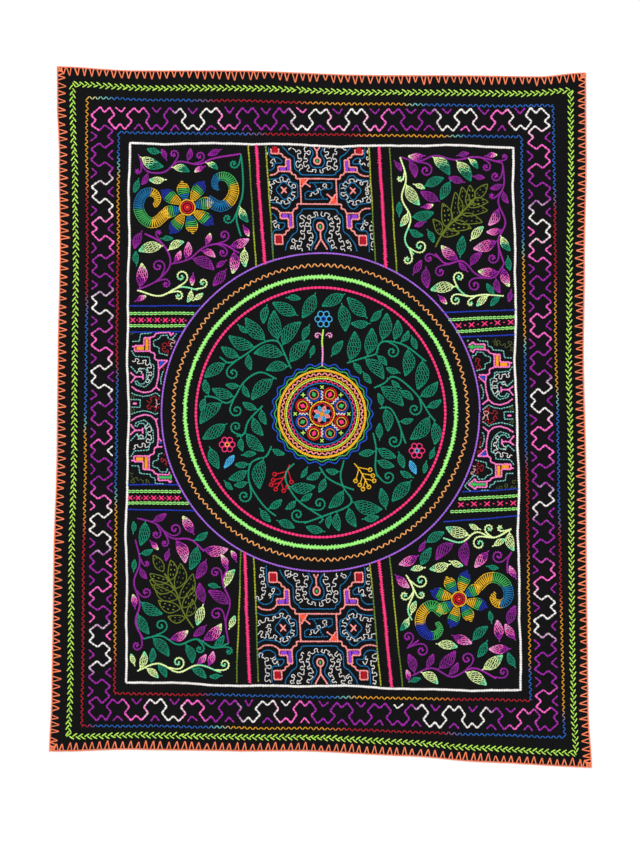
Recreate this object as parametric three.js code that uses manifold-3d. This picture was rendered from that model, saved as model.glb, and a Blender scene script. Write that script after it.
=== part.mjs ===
// Embroidered cloth: one black cotton ground, about 700 by 900 mm, lying flat with its face up.
// The thick stitched lines stand proud of the face: a border of crosses, a frame, three rings round
// the middle, and the straight lines of the bands between frame and rings. A blanket stitch in thick
// yarn edges it on all sides.
// Millimetres, +Z up. The origin is under the middle of the cloth, on the surface it lies on, and
// +Y points to the cloth's top edge.

import * as THREE from "three";
import Module from "manifold-3d";

const wasm = await Module();
wasm.setup();

// The ground cloth.
const CLOTH_THICKNESS = 1.5;

// Four-sided lines round the cloth by their corners in plan: its own outline, the middle line of the
// border of crosses, and the frame. `bow` is how much of the edge's bow each follows.
const corner = (x, y) => new THREE.Vector2(x, y);
const LINES = {
  cloth: {
    bow: 1,
    topLeft: corner(-342.8, 456.8),
    topRight: corner(345.3, 448.3),
    bottomRight: corner(352.8, -456.8),
    bottomLeft: corner(-352.8, -435.3),
  },
  crosses: {
    bow: 0.3,
    topLeft: corner(-285.5, 391),
    topRight: corner(285, 390),
    bottomRight: corner(296.5, -396),
    bottomLeft: corner(-289.5, -382.5),
  },
  frame: {
    bow: 0,
    topLeft: corner(-249.8, 358),
    topRight: corner(251.5, 353),
    bottomRight: corner(262, -358),
    bottomLeft: corner(-254.3, -347),
  },
};
const EDGE_STEPS = 36;

// How far each edge bows in from the straight line between its corners. `at` is the share of the
// way along the edge, from the left or from the top.
const BOW = {
  top: [
    { at: 0, inward: 0 },
    { at: 0.14, inward: 4.2 },
    { at: 0.35, inward: 2.7 },
    { at: 0.58, inward: 6.4 },
    { at: 0.78, inward: 5.4 },
    { at: 0.91, inward: 5.6 },
    { at: 1, inward: 0 },
  ],
  bottom: [
    { at: 0, inward: 0 },
    { at: 0.16, inward: 5.7 },
    { at: 0.33, inward: 7.4 },
    { at: 0.48, inward: 10.2 },
    { at: 0.66, inward: 7.8 },
    { at: 0.8, inward: 3.0 },
    { at: 1, inward: 0 },
  ],
  left: [
    { at: 0, inward: 0 },
    { at: 0.05, inward: 0.6 },
    { at: 0.13, inward: 3.9 },
    { at: 0.28, inward: 6.5 },
    { at: 0.42, inward: 5.2 },
    { at: 0.58, inward: 5.2 },
    { at: 0.72, inward: 2.6 },
    { at: 0.92, inward: 2.2 },
    { at: 1, inward: 0 },
  ],
  right: [
    { at: 0, inward: 0 },
    { at: 0.12, inward: 0.2 },
    { at: 0.27, inward: 3.6 },
    { at: 0.41, inward: 6.0 },
    { at: 0.58, inward: 4.0 },
    { at: 0.72, inward: 4.4 },
    { at: 0.92, inward: 3.6 },
    { at: 1, inward: 0 },
  ],
};

// Thick stitched lines: how proud they stand, and how deep their solids reach into the cloth.
const RIDGE_HEIGHT = 1.0;
const RIDGE_ROOT = 0.6;

const FRAME_WIDTH = 3.3;
const CROSS_WIDTH = 2.2;

// The border of crosses is one line that runs over one cross and under the next. Each row is a
// point of the line over one cross: `along` from the cross's middle, `out` from the border's own
// middle line.
const CROSSES_ACROSS = 24;
const CROSSES_DOWN = 32;
const CROSS_LINE = [
  { along: -15.4, out: 3.8 },
  { along: -6.7, out: 14.4 },
  { along: 0, out: 7.4 },
  { along: 6.7, out: 14.4 },
  { along: 15.4, out: 3.8 },
];
const CROSS_LENGTH = 24.4;
// The corner cross, for the top left corner: `x` and `y` from the crossing of the middle lines.
const CORNER_LINE = [
  { x: -3.8, y: -16.4 },
  { x: -14.4, y: -9.5 },
  { x: -7.4, y: -3.4 },
  { x: -14.4, y: 3.2 },
  { x: -3.2, y: 14.4 },
  { x: 3.4, y: 7.4 },
  { x: 9.5, y: 14.4 },
  { x: 16.4, y: 3.8 },
];

// Rings round the middle, from outside in.
const RING_CENTRE = new THREE.Vector2(0, 6);
const RING_STEPS = 72;
const RINGS = [
  { radius: 208.5, width: 2.2 },
  { radius: 177, width: 4.8 },
  { radius: 163, width: 3.2 },
];

// Straight chain-stitched lines of the bands, each from the frame to the outer ring, by the two ends
// of its middle line. They stop short of both lines that they run between.
const BAND_LINES = [
  { x1: -84, y1: 352, x2: -73.5, y2: 203, width: 3.6 },
  { x1: 76, y1: 350, x2: 85, y2: 199.5, width: 3.6 },
  { x1: -93, y1: -344, x2: -98.5, y2: -185, width: 3.6 },
  { x1: 93, y1: -348.5, x2: 77, y2: -193.5, width: 3.6 },
  { x1: -246, y1: 136, x2: -168, y2: 136, width: 2.4 },
  { x1: -246, y1: 119, x2: -179.5, y2: 119, width: 2.4 },
  { x1: -251, y1: -96.5, x2: -184, y2: -98.5, width: 2.4 },
  { x1: -251, y1: -113, x2: -173.5, y2: -113.5, width: 2.4 },
  { x1: 252, y1: 131.5, x2: 169.5, y2: 127.5, width: 2.4 },
  { x1: 252, y1: 117, x2: 181, y2: 111, width: 2.4 },
  { x1: 256, y1: -102, x2: 182, y2: -107.5, width: 2.4 },
  { x1: 256, y1: -119.5, x2: 170.5, y2: -124, width: 2.4 },
];

// The yarn edging: a rail of yarn round the edge, and pointed teeth that reach in over the face.
const GAP = 0.3;
const RAIL_WIDTH = 1.9;
const TOOTH_HEIGHT = 1.0;
const TOOTH_PITCH = 9.9;
const TOOTH_CORNER_MARGIN = 14;
const TOOTH_BASE = 6.4;
const TOOTH_LENGTH = 9.9;

const cotton = new THREE.MeshStandardMaterial({ color: 0x17171a, roughness: 0.95, metalness: 0 });
const yarn = new THREE.MeshStandardMaterial({ color: 0xf07048, roughness: 0.85, metalness: 0 });

// The bow of an edge at a share of its length, eased between the rows of its table.
function bowAt(table, share) {
  const last = table.length - 1;
  let row = 0;
  while (row < last - 1 && share > table[row + 1].at) row += 1;
  const before = table[row];
  const after = table[row + 1];
  const way = THREE.MathUtils.clamp((share - before.at) / (after.at - before.at), 0, 1);
  return THREE.MathUtils.lerp(before.inward, after.inward, THREE.MathUtils.smoothstep(way, 0, 1));
}

// The four sides, each from left to right or from top to bottom, and on which side of it the cloth lies.
const EDGES = {
  top: { from: "topLeft", to: "topRight", inwardSign: -1 },
  bottom: { from: "bottomLeft", to: "bottomRight", inwardSign: 1 },
  left: { from: "topLeft", to: "bottomLeft", inwardSign: 1 },
  right: { from: "topRight", to: "bottomRight", inwardSign: -1 },
};
// The way round, clockwise from the top left corner.
const WAY_ROUND = [
  { side: "top", backwards: false },
  { side: "right", backwards: false },
  { side: "bottom", backwards: true },
  { side: "left", backwards: true },
];

function lengthOf(line, side) {
  return line[EDGES[side].from].distanceTo(line[EDGES[side].to]);
}

// A point on one side of a four-sided line, or moved in from it.
function edgePoint(line, side, share, inset = 0) {
  const { from, to, inwardSign } = EDGES[side];
  const along = line[to].clone().sub(line[from]).normalize();
  const inward = new THREE.Vector2(-along.y, along.x).multiplyScalar(inwardSign);
  const depth = line.bow * bowAt(BOW[side], THREE.MathUtils.clamp(share, 0, 1)) + inset;
  return line[from].clone().lerp(line[to], share).addScaledVector(inward, depth);
}

function toManifold(positions, triangles) {
  const mesh = new wasm.Mesh({
    numProp: 3,
    vertProperties: new Float32Array(positions),
    triVerts: new Uint32Array(triangles),
  });
  return new wasm.Manifold(mesh);
}

// A closed solid of constant section: a band of some width swept along a line in plan, between two heights.
function sweptBand(points, width, low, high, closed) {
  const count = points.length;
  const positions = [];
  const triangles = [];
  points.forEach((point, i) => {
    const previous = points[closed ? (i + count - 1) % count : Math.max(i - 1, 0)];
    const next = points[closed ? (i + 1) % count : Math.min(i + 1, count - 1)];
    const before = (i === 0 && !closed ? next.clone().sub(point) : point.clone().sub(previous)).normalize();
    const after = (i === count - 1 && !closed ? point.clone().sub(previous) : next.clone().sub(point)).normalize();
    const side = new THREE.Vector2(-before.y - after.y, before.x + after.x).normalize();
    const reach = width / 2 / side.dot(new THREE.Vector2(-before.y, before.x));
    const left = point.clone().addScaledVector(side, reach);
    const right = point.clone().addScaledVector(side, -reach);
    positions.push(left.x, left.y, low, right.x, right.y, low, right.x, right.y, high, left.x, left.y, high);
  });
  const spans = closed ? count : count - 1;
  for (let i = 0; i < spans; i += 1) {
    const here = 4 * i;
    const there = 4 * ((i + 1) % count);
    for (let k = 0; k < 4; k += 1) {
      const a = here + k;
      const b = here + ((k + 1) % 4);
      const c = there + ((k + 1) % 4);
      const d = there + k;
      triangles.push(a, c, b, a, d, c);
    }
  }
  if (!closed) {
    const end = 4 * (count - 1);
    triangles.push(0, 1, 2, 0, 2, 3, end, end + 2, end + 1, end, end + 3, end + 2);
  }
  return toManifold(positions, triangles);
}

// A solid straight up from an outline in plan, given counter-clockwise.
function prism(outline, low, high) {
  const faces = THREE.ShapeUtils.triangulateShape(outline, []);
  const count = outline.length;
  const positions = [];
  const triangles = [];
  for (const height of [low, high]) outline.forEach((p) => positions.push(p.x, p.y, height));
  for (const [a, b, c] of faces) triangles.push(c, b, a, a + count, b + count, c + count);
  for (let i = 0; i < count; i += 1) {
    const j = (i + 1) % count;
    triangles.push(i, j, j + count, i, j + count, i + count);
  }
  return toManifold(positions, triangles);
}

function counterClockwise(outline) {
  return THREE.ShapeUtils.isClockWise(outline) ? outline.slice().reverse() : outline;
}

// A four-sided line once round, with steps along each side.
function wholeLoop(line, steps) {
  return WAY_ROUND.flatMap(({ side, backwards }) =>
    Array.from({ length: steps }, (_, i) => edgePoint(line, side, backwards ? 1 - i / steps : i / steps)),
  );
}

// The border of crosses as one closed line, clockwise from the top left corner.
function crossLoop() {
  const counts = { top: CROSSES_ACROSS, right: CROSSES_DOWN, bottom: CROSSES_ACROSS, left: CROSSES_DOWN };
  const loop = [];
  for (const { side, backwards } of WAY_ROUND) {
    const length = lengthOf(LINES.crosses, side);
    const place = (along, out) => {
      const share = backwards ? 1 - along / length : along / length;
      return edgePoint(LINES.crosses, side, share, -out);
    };
    for (const { x, y } of CORNER_LINE) loop.push(place(x, y));
    const pitch = length / counts[side];
    const stretch = pitch / CROSS_LENGTH;
    for (let cross = 1; cross < counts[side]; cross += 1) {
      const sign = cross % 2 === 0 ? 1 : -1;
      for (const { along, out } of CROSS_LINE) loop.push(place(cross * pitch + along * stretch, sign * out));
    }
  }
  return loop;
}

function ringLoop(radius) {
  return Array.from({ length: RING_STEPS }, (_, i) => {
    const angle = (2 * Math.PI * i) / RING_STEPS;
    return new THREE.Vector2(Math.cos(angle), Math.sin(angle)).multiplyScalar(radius).add(RING_CENTRE);
  });
}

function toGeometry(solid) {
  const { vertProperties, triVerts, numProp } = solid.getMesh();
  const positions = new Float32Array((vertProperties.length / numProp) * 3);
  for (let i = 0; i < positions.length / 3; i += 1) {
    for (let k = 0; k < 3; k += 1) positions[3 * i + k] = vertProperties[numProp * i + k];
  }
  const geometry = new THREE.BufferGeometry();
  geometry.setAttribute("position", new THREE.BufferAttribute(positions, 3));
  geometry.setIndex(new THREE.BufferAttribute(new Uint32Array(triVerts), 1));
  geometry.computeVertexNormals();
  return geometry;
}

// The ground with its raised lines, as one solid.
function makeCloth() {
  const low = CLOTH_THICKNESS - RIDGE_ROOT;
  const high = CLOTH_THICKNESS + RIDGE_HEIGHT;
  const ridges = [
    sweptBand(wholeLoop(LINES.frame, 1), FRAME_WIDTH, low, high, true),
    sweptBand(crossLoop(), CROSS_WIDTH, low, high, true),
  ];
  for (const { radius, width } of RINGS) ridges.push(sweptBand(ringLoop(radius), width, low, high, true));
  for (const { x1, y1, x2, y2, width } of BAND_LINES) {
    const line = [new THREE.Vector2(x1, y1), new THREE.Vector2(x2, y2)];
    ridges.push(sweptBand(line, width, low, high, false));
  }
  let solid = prism(counterClockwise(wholeLoop(LINES.cloth, EDGE_STEPS)), 0, CLOTH_THICKNESS);
  for (const ridge of ridges) solid = solid.add(ridge);
  const mesh = new THREE.Mesh(toGeometry(solid), cotton);
  mesh.name = "cloth";
  return mesh;
}

// The points along an edge where the middles of the teeth lie, as shares of its length.
function toothPlaces(lengthOfEdge) {
  const room = lengthOfEdge - 2 * TOOTH_CORNER_MARGIN;
  const spaces = Math.round(room / TOOTH_PITCH);
  const place = (i) => (TOOTH_CORNER_MARGIN + (room * i) / spaces) / lengthOfEdge;
  return Array.from({ length: spaces + 1 }, (_, i) => place(i));
}

// The edging of one side: a rail from the floor up to the teeth, and the teeth with the rail's top.
// The rails of the top and bottom run past the corners, and those of the sides end at them.
function makeEdging(side) {
  const lengthOfEdge = lengthOf(LINES.cloth, side);
  const place = (share, inset) => edgePoint(LINES.cloth, side, share, inset);
  const past = side === "top" || side === "bottom" ? (GAP + RAIL_WIDTH) / lengthOfEdge : 0;
  const shares = Array.from({ length: EDGE_STEPS + 1 }, (_, i) =>
    THREE.MathUtils.lerp(-past, 1 + past, i / EDGE_STEPS),
  );
  const outer = shares.map((share) => place(share, -GAP - RAIL_WIDTH));
  const inner = shares.map((share) => place(share, -GAP));
  const toothed = [inner[0]];
  const half = TOOTH_BASE / 2 / lengthOfEdge;
  for (const share of toothPlaces(lengthOfEdge)) {
    toothed.push(place(share - half, -GAP));
    toothed.push(place(share, TOOTH_LENGTH));
    toothed.push(place(share + half, -GAP));
  }
  toothed.push(inner[EDGE_STEPS]);
  const teethFrom = CLOTH_THICKNESS + GAP;
  const rail = counterClockwise([...outer, ...inner.slice().reverse()]);
  const teeth = counterClockwise([...outer, ...toothed.reverse()]);
  const solid = prism(rail, 0, teethFrom).add(prism(teeth, teethFrom, teethFrom + TOOTH_HEIGHT));
  const mesh = new THREE.Mesh(toGeometry(solid), yarn);
  mesh.name = `edging_${side}`;
  return mesh;
}

const embroideredCloth = new THREE.Group();
embroideredCloth.add(makeCloth());
for (const side of Object.keys(EDGES)) embroideredCloth.add(makeEdging(side));

export default embroideredCloth;
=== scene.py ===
# An embroidered black cotton cloth, lying face up. Lengths are millimetres, and meshes are metres.

import math

import bpy
import numpy as np
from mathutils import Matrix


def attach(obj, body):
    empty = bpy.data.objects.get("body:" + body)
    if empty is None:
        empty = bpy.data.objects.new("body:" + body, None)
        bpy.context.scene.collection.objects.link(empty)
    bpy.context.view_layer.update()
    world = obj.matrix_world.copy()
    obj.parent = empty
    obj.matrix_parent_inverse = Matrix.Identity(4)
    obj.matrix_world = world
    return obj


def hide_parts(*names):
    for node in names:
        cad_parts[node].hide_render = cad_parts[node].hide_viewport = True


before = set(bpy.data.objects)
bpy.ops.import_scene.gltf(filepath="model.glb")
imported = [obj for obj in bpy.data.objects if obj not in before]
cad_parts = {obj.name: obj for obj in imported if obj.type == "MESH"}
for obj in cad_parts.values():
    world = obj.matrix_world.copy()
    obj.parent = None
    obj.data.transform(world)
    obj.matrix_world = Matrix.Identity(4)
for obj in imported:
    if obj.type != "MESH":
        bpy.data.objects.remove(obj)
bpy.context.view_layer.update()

MM = 0.001
TAU = 2 * math.pi

# Four-sided lines round the cloth, from outside in: how much of the cloth's own bowed edge each follows, and
# its corners in plan, clockwise from the top left.
TOP_LEFT, TOP_RIGHT, BOTTOM_RIGHT, BOTTOM_LEFT = range(4)
LINES = {
    "cloth": (1.0, (-342.8, 456.8), (345.3, 448.3), (352.8, -456.8), (-352.8, -435.3)),
    "feather": (0.9, (-323.9, 435.0), (327.0, 427.0), (334.0, -439.5), (-329.3, -417.5)),
    "outer_zigzag": (0.35, (-305.5, 417.5), (304.1, 407.4), (319.2, -418.7), (-312.3, -403.8)),
    "crosses": (0.3, (-285.5, 391.0), (285.0, 390.0), (296.5, -396.0), (-289.5, -382.5)),
    "inner_zigzag": (0.0, (-263.8, 372.0), (262.7, 366.2), (274.5, -370.7), (-269.3, -361.1)),
    "frame": (0.0, (-249.8, 358.0), (251.5, 353.0), (262.0, -358.0), (-254.3, -347.0)),
}
# How far the cloth's edges bow in: (share of the way along the edge, depth).
BOW = {
    "top": [(0, 0), (0.14, 4.2), (0.35, 2.7), (0.58, 6.4), (0.78, 5.4), (0.91, 5.6), (1, 0)],
    "bottom": [(0, 0), (0.16, 5.7), (0.33, 7.4), (0.48, 10.2), (0.66, 7.8), (0.8, 3.0), (1, 0)],
    "left": [(0, 0), (0.05, 0.6), (0.13, 3.9), (0.28, 6.5), (0.42, 5.2), (0.58, 5.2), (0.72, 2.6),
             (0.92, 2.2), (1, 0)],
    "right": [(0, 0), (0.12, 0.2), (0.27, 3.6), (0.41, 6.0), (0.58, 4.0), (0.72, 4.4), (0.92, 3.6), (1, 0)],
}
# Each edge runs left to right or top to bottom; turn is the side of it on which the cloth lies.
EDGES = {
    "top": (TOP_LEFT, TOP_RIGHT, -1),
    "bottom": (BOTTOM_LEFT, BOTTOM_RIGHT, 1),
    "left": (TOP_LEFT, BOTTOM_LEFT, 1),
    "right": (TOP_RIGHT, BOTTOM_RIGHT, -1),
}
# The way round, clockwise from the top left corner: the side, and whether it is walked backwards.
WAY_ROUND = (("top", False), ("right", False), ("bottom", True), ("left", True))
RING_CENTRE = np.array([0.0, 6.0])

COLOURS = dict(
    white="#f4f0ec", coral="#ff8a60", lime="#bff060", yellow="#f0a828", pale_yellow="#ead98a",
    blue="#2a6cc4", pale_teal="#7cc8c0", red="#c01c2c", grey_purple="#7c6a9c", orange="#ee7a34",
    pink="#ff6ecb", purple="#a025a4", hot_pink="#ff3c82", olive="#62842c", yellow_green="#a8b428",
    light_green="#a4f582", deep_blue="#2038b8", orchid="#a868de", peach="#ffb068", plum="#8c2494",
    fern="#6c7c28", dull_lime="#98a838", salmon="#ff9c98", sea_blue="#167ab4", dark_red="#b80c24",
    violet="#9646d8", coral_red="#ff5c3c", leaf_green="#48b860", orchid_pink="#ff80cc", amber="#f0a428",
    royal_blue="#1a50c8", dark_crimson="#b02030", pale_pink="#e8b4b4", moss="#4e5c28", teal_green="#149070",
    cream_green="#e6fab0", mint="#8ae6aa", light_pink="#f8a0d8", sky="#48b8e8", golden="#f4c028",
    berry_red="#d81830",
)


def linear(name):
    """A named colour in linear light."""
    srgb = np.array([int(COLOURS[name][i : i + 2], 16) for i in (1, 3, 5)]) / 255
    return np.where(srgb <= 0.04045, srgb / 12.92, ((srgb + 0.055) / 1.055) ** 2.4)


def smooth(share):
    share = np.clip(share, 0, 1)
    return share * share * (3 - 2 * share)


def unit(vectors):
    """Vectors, along the last axis, drawn out or in to a length of one."""
    return vectors / np.maximum(np.linalg.norm(vectors, axis=-1, keepdims=True), 1e-9)


def direction(angle):
    """The unit vector in plan at an angle."""
    return np.array([math.cos(angle), math.sin(angle)])


def polar(centre, reaches, angles):
    """Points in plan round a centre."""
    return np.asarray(centre) + reaches[:, None] * np.stack([np.cos(angles), np.sin(angles)], axis=1)


def left_of(way):
    """A vector in plan turned a quarter to the left."""
    return np.stack([-way[..., 1], way[..., 0]], axis=-1)


def turned(way, angle):
    """A direction turned to the left by an angle."""
    cos, sin = direction(angle)
    return way @ np.array([[cos, sin], [-sin, cos]])


def run_along(line):
    """The way from a line's start to each of its points."""
    return np.concatenate([[0], np.cumsum(np.linalg.norm(np.diff(line, axis=0), axis=1))])


def read_off(at, places, rows):
    """Rows between the given rows, which stand at places in rising order."""
    return np.stack([np.interp(at, places, column) for column in np.asarray(rows, float).T], axis=1)


def bow_at(side, share):
    rows = np.array(BOW[side], float)
    share = np.clip(share, 0, 1)
    row = np.clip(np.searchsorted(rows[:, 0], share, side="right") - 1, 0, len(rows) - 2)
    way = (share - rows[row, 0]) / (rows[row + 1, 0] - rows[row, 0])
    return rows[row, 1] + (rows[row + 1, 1] - rows[row, 1]) * smooth(way)


def ends_of(line, side):
    corners = np.array(LINES[line][1:])
    return corners[EDGES[side][0]], corners[EDGES[side][1]]


def length_of(line, side):
    start, end = ends_of(line, side)
    return np.linalg.norm(end - start)


def inward_of(line, side):
    start, end = ends_of(line, side)
    return EDGES[side][2] * left_of(unit(end - start))


def edge_point(line, side, share, inset=0.0):
    """Points on one side of a four-sided line, or moved in from it."""
    share = np.asarray(share, float)
    start, end = ends_of(line, side)
    depth = LINES[line][0] * bow_at(side, share) + inset
    return start + share[..., None] * (end - start) + depth[..., None] * inward_of(line, side)


def cloth_point(across, down):
    """Points of the cloth from their shares across and down: the four bowed edges blended."""
    a, d = across[..., None], down[..., None]
    blend = (1 - a) * edge_point("cloth", "left", down) + a * edge_point("cloth", "right", down)
    blend = blend + (1 - d) * edge_point("cloth", "top", across) + d * edge_point("cloth", "bottom", across)
    corners = np.array(LINES["cloth"][1:])
    upper = (1 - a) * corners[TOP_LEFT] + a * corners[TOP_RIGHT]
    lower = (1 - a) * corners[BOTTOM_LEFT] + a * corners[BOTTOM_RIGHT]
    return blend - (1 - d) * upper - d * lower


def sides_of(line):
    """The sides of a line, clockwise: its length, and a function that places (along, outward) rows on it."""
    for side, backwards in WAY_ROUND:
        length = length_of(line, side)

        def place(along, outward=0.0):
            share = np.asarray(along, float) / length
            return edge_point(line, side, 1 - share if backwards else share, -np.asarray(outward, float))

        yield length, place


# The cloth's face: a little uneven, as cotton is between its stitches, and thicker along the hem.
FACE_HEIGHT = 1.15
SWELL_COUNT = 14
SWELL_HEIGHT = 0.09
SWELL_LENGTHS = (26, 150)
SWELL_RANGE = (-0.4, 0.5)
HALF_SIZE = np.array([348.0, 448.0])
HEM_WIDTH = 13.0
HEM_SLOPE = 4.0
HEM_HEIGHT = 0.25
swell_random = np.random.default_rng(3)
swell_length = swell_random.uniform(*SWELL_LENGTHS, SWELL_COUNT)
swell_angle = swell_random.uniform(0, TAU, SWELL_COUNT)
swell_phase = swell_random.uniform(0, TAU, SWELL_COUNT)


def face_height(points):
    """Height of the cloth's face at points in plan."""
    x, y = points[..., 0], points[..., 1]
    swell = np.zeros_like(x)
    for length, angle, phase in zip(swell_length, swell_angle, swell_phase):
        swell += np.sin((x * math.cos(angle) + y * math.sin(angle)) * TAU / length + phase)
    from_edge = (HALF_SIZE - np.abs(points[..., :2])).min(axis=-1)
    hem = 1 - smooth((from_edge - HEM_WIDTH + HEM_SLOPE / 2) / HEM_SLOPE)
    return FACE_HEIGHT + np.clip(SWELL_HEIGHT * swell, *SWELL_RANGE) + HEM_HEIGHT * hem


def new_mesh(name, slot, material, vertices, faces, uvs, dye=None, replaced=()):
    """A piece from vertices in millimetres and blocks of faces, each block with one corner count."""
    mesh = bpy.data.meshes.new(name)
    corners = np.concatenate([block.ravel() for block in faces]).astype(np.int32)
    sizes = np.concatenate([np.full(len(block), block.shape[1]) for block in faces])
    mesh.vertices.add(len(vertices))
    mesh.vertices.foreach_set("co", (vertices * MM).astype(np.float32).ravel())
    mesh.loops.add(len(corners))
    mesh.loops.foreach_set("vertex_index", corners)
    mesh.polygons.add(len(sizes))
    mesh.polygons.foreach_set("loop_start", np.concatenate([[0], np.cumsum(sizes)[:-1]]).astype(np.int32))
    mesh.update(calc_edges=True)
    mesh.polygons.foreach_set("use_smooth", np.ones(len(sizes), bool))
    for title, values in uvs.items():
        mesh.uv_layers.new(name=title).data.foreach_set("uv", values.astype(np.float32).ravel())
    if dye is not None:
        rgba = np.concatenate([dye, np.ones((len(dye), 1))], axis=1)
        layer = mesh.color_attributes.new("dye", "FLOAT_COLOR", "POINT")
        layer.data.foreach_set("color", rgba.astype(np.float32).ravel())
    mesh.validate()
    mesh.materials.append(material)
    shown = bpy.data.objects.new(name, mesh)
    bpy.context.scene.collection.objects.link(shown)
    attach(shown, "root")
    if replaced:
        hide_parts(*replaced)
    return shown


# A stitch is a plump tube of yarn that goes into the cloth at both ends.
SIDES = 4
ALONG = np.array([0.0, 0.16, 0.5, 0.84, 1.0])
LIFT = np.array([-1.0, 0.55, 0.85, 0.55, -1.0])
PLUMP = np.array([0.0, 0.9, 1.0, 0.9, 0.0])
FLATNESS = 0.8
WIDTH_SPREAD = 0.06
SHADE_SPREAD = 0.05
CELL_MARGIN = 0.06


class Yarn:
    """All the stitches of one piece."""

    def __init__(self, name, seed, slot="embroidery_yarn"):
        self.name = name
        self.slot = slot
        self.random = np.random.default_rng(seed)
        self.stitches = []

    def straight(self, starts, ends, width, dye, raised=0.0, unevenness=0.12):
        """Straight stitches between points in plan. `dye` is one colour, or one for each stitch."""
        starts, ends = np.atleast_2d(starts), np.atleast_2d(ends)
        middle = (starts + ends) / 2
        bulge = self.random.normal(0, unevenness, middle.shape)
        self.bowed(starts, middle + bulge, ends, width, dye, raised)

    def bowed(self, starts, middles, ends, width, dye, raised=0.0):
        """Stitches that pass through a middle point in plan."""
        count = len(starts)
        t = ALONG[None, :, None]
        curve = (1 - t) * (1 - 2 * t) * starts[:, None] + 4 * t * (1 - t) * middles[:, None]
        curve = curve + t * (2 * t - 1) * ends[:, None]
        half = np.broadcast_to(np.asarray(width, float) / 2, (count,))
        half = half * self.random.normal(1, WIDTH_SPREAD, count)
        height = face_height(curve) + FLATNESS * half[:, None] * LIFT
        height = height + np.reshape(raised, (-1, 1)) * (PLUMP > 0)
        dye = np.broadcast_to(np.asarray(dye, float), (count, 3))
        dye = dye * self.random.normal(1, SHADE_SPREAD, (count, 1))
        self.add(np.concatenate([curve, height[..., None]], axis=2), half[:, None] * PLUMP, dye)

    def add(self, paths, radii, dye, side=None):
        """Tubes through paths (stitch, point, xyz) with a radius at each point and a colour for each tube."""
        if len(paths):
            self.stitches.append((paths, radii, dye, side))

    def build(self, replaced=()):
        """The piece: its tubes joined, each with a cell of the bake map to itself."""
        total = sum(len(group[0]) for group in self.stitches)
        cells = math.ceil(math.sqrt(total))
        blocks, vertices, dyes, strand, bake = [], [], [], [], []
        offset, first_cell = 0, 0
        for paths, radii, dye, side in self.stitches:
            points, faces, strand_map, cell_map = tube_group(paths, radii, side, self.random)
            blocks += [block + offset for block in faces]
            vertices.append(points)
            dyes.append(np.repeat(dye, len(points) // len(paths), axis=0))
            strand += [block.reshape(-1, 2) for block in strand_map]
            cell = first_cell + np.arange(len(paths))
            corner = np.stack([cell % cells, cell // cells], axis=1)[:, None, None, :]
            for block in cell_map:
                spread = block.reshape(len(paths), -1, block.shape[1], 2)
                bake.append(((corner + CELL_MARGIN + (1 - 2 * CELL_MARGIN) * spread) / cells).reshape(-1, 2))
            offset += len(points)
            first_cell += len(paths)
        uvs = {"Strand": np.concatenate(strand), "OFBake": np.concatenate(bake)}
        return new_mesh(self.name, self.slot, yarn_look, np.concatenate(vertices), blocks, uvs,
                        np.concatenate(dyes), replaced)


def tube_group(paths, radii, side, random):
    """Vertices, faces and the two texture maps of tubes that all have the same number of points."""
    count, points, _ = paths.shape
    rings = points - 2
    tangent = np.gradient(paths, axis=1)
    side = unit(np.cross(tangent, [0.0, 0.0, 1.0]) if side is None else side)
    up = unit(np.cross(side, tangent))
    angle = TAU * np.arange(SIDES) / SIDES
    inner = slice(1, points - 1)
    ring = (
        paths[:, inner, None]
        + side[:, inner, None] * (radii[:, inner, None] * np.cos(angle))[..., None]
        + up[:, inner, None] * (FLATNESS * radii[:, inner, None] * np.sin(angle))[..., None]
    )
    vertices = np.concatenate([ring.reshape(count, -1, 3), paths[:, [0, -1]]], axis=1)
    base = (np.arange(count) * (rings * SIDES + 2))[:, None, None]

    r, s = np.meshgrid(np.arange(rings - 1), np.arange(SIDES), indexing="ij")
    r, s, n = r.ravel(), s.ravel(), (s.ravel() + 1) % SIDES
    quads = np.stack([r * SIDES + s, r * SIDES + n, (r + 1) * SIDES + n, (r + 1) * SIDES + s], axis=1)
    k = np.arange(SIDES)
    last = (rings - 1) * SIDES
    start_tip = np.stack([(k + 1) % SIDES, k, np.full(SIDES, rings * SIDES)], axis=1)
    end_tip = np.stack([last + k, last + (k + 1) % SIDES, np.full(SIDES, rings * SIDES + 1)], axis=1)
    faces = [base + np.concatenate([start_tip, end_tip]), base + quads]

    step = np.linalg.norm(np.diff(paths, axis=1), axis=2)
    length = np.concatenate([np.zeros((count, 1)), np.cumsum(step, axis=1)], axis=1)
    twist = length / (2 * radii.max(axis=1, keepdims=True)) + random.uniform(0, 1, (count, 1))

    def corners(along):
        """The map's place at each corner: along the tube, and round it."""
        on_ring = along[:, inner]
        quad_u = np.stack([on_ring[:, r], on_ring[:, r], on_ring[:, r + 1], on_ring[:, r + 1]], axis=2)
        quad_v = np.broadcast_to(np.stack([s, s + 1, s + 1, s], axis=1) / SIDES, quad_u.shape)
        first, near, far, final = (along[:, [at]].repeat(SIDES, 1) for at in (0, 1, -2, -1))
        start_u, end_u = np.stack([near, near, first], axis=2), np.stack([far, far, final], axis=2)
        tip_u = np.concatenate([start_u, end_u], axis=1)
        tip_v = np.concatenate([np.stack([k + 1, k, k + 0.5], axis=1), np.stack([k, k + 1, k + 0.5], axis=1)])
        tip_v = np.broadcast_to(tip_v / SIDES, tip_u.shape)
        tip_map, quad_map = np.stack([tip_u, tip_v], axis=3), np.stack([quad_u, quad_v], axis=3)
        return [tip_map.reshape(-1, 3, 2), quad_map.reshape(-1, 4, 2)]

    vertices = vertices.reshape(-1, 3)
    faces = [block.reshape(-1, block.shape[2]) for block in faces]
    return vertices, faces, corners(twist), corners(length / length[:, -1:])


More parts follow.
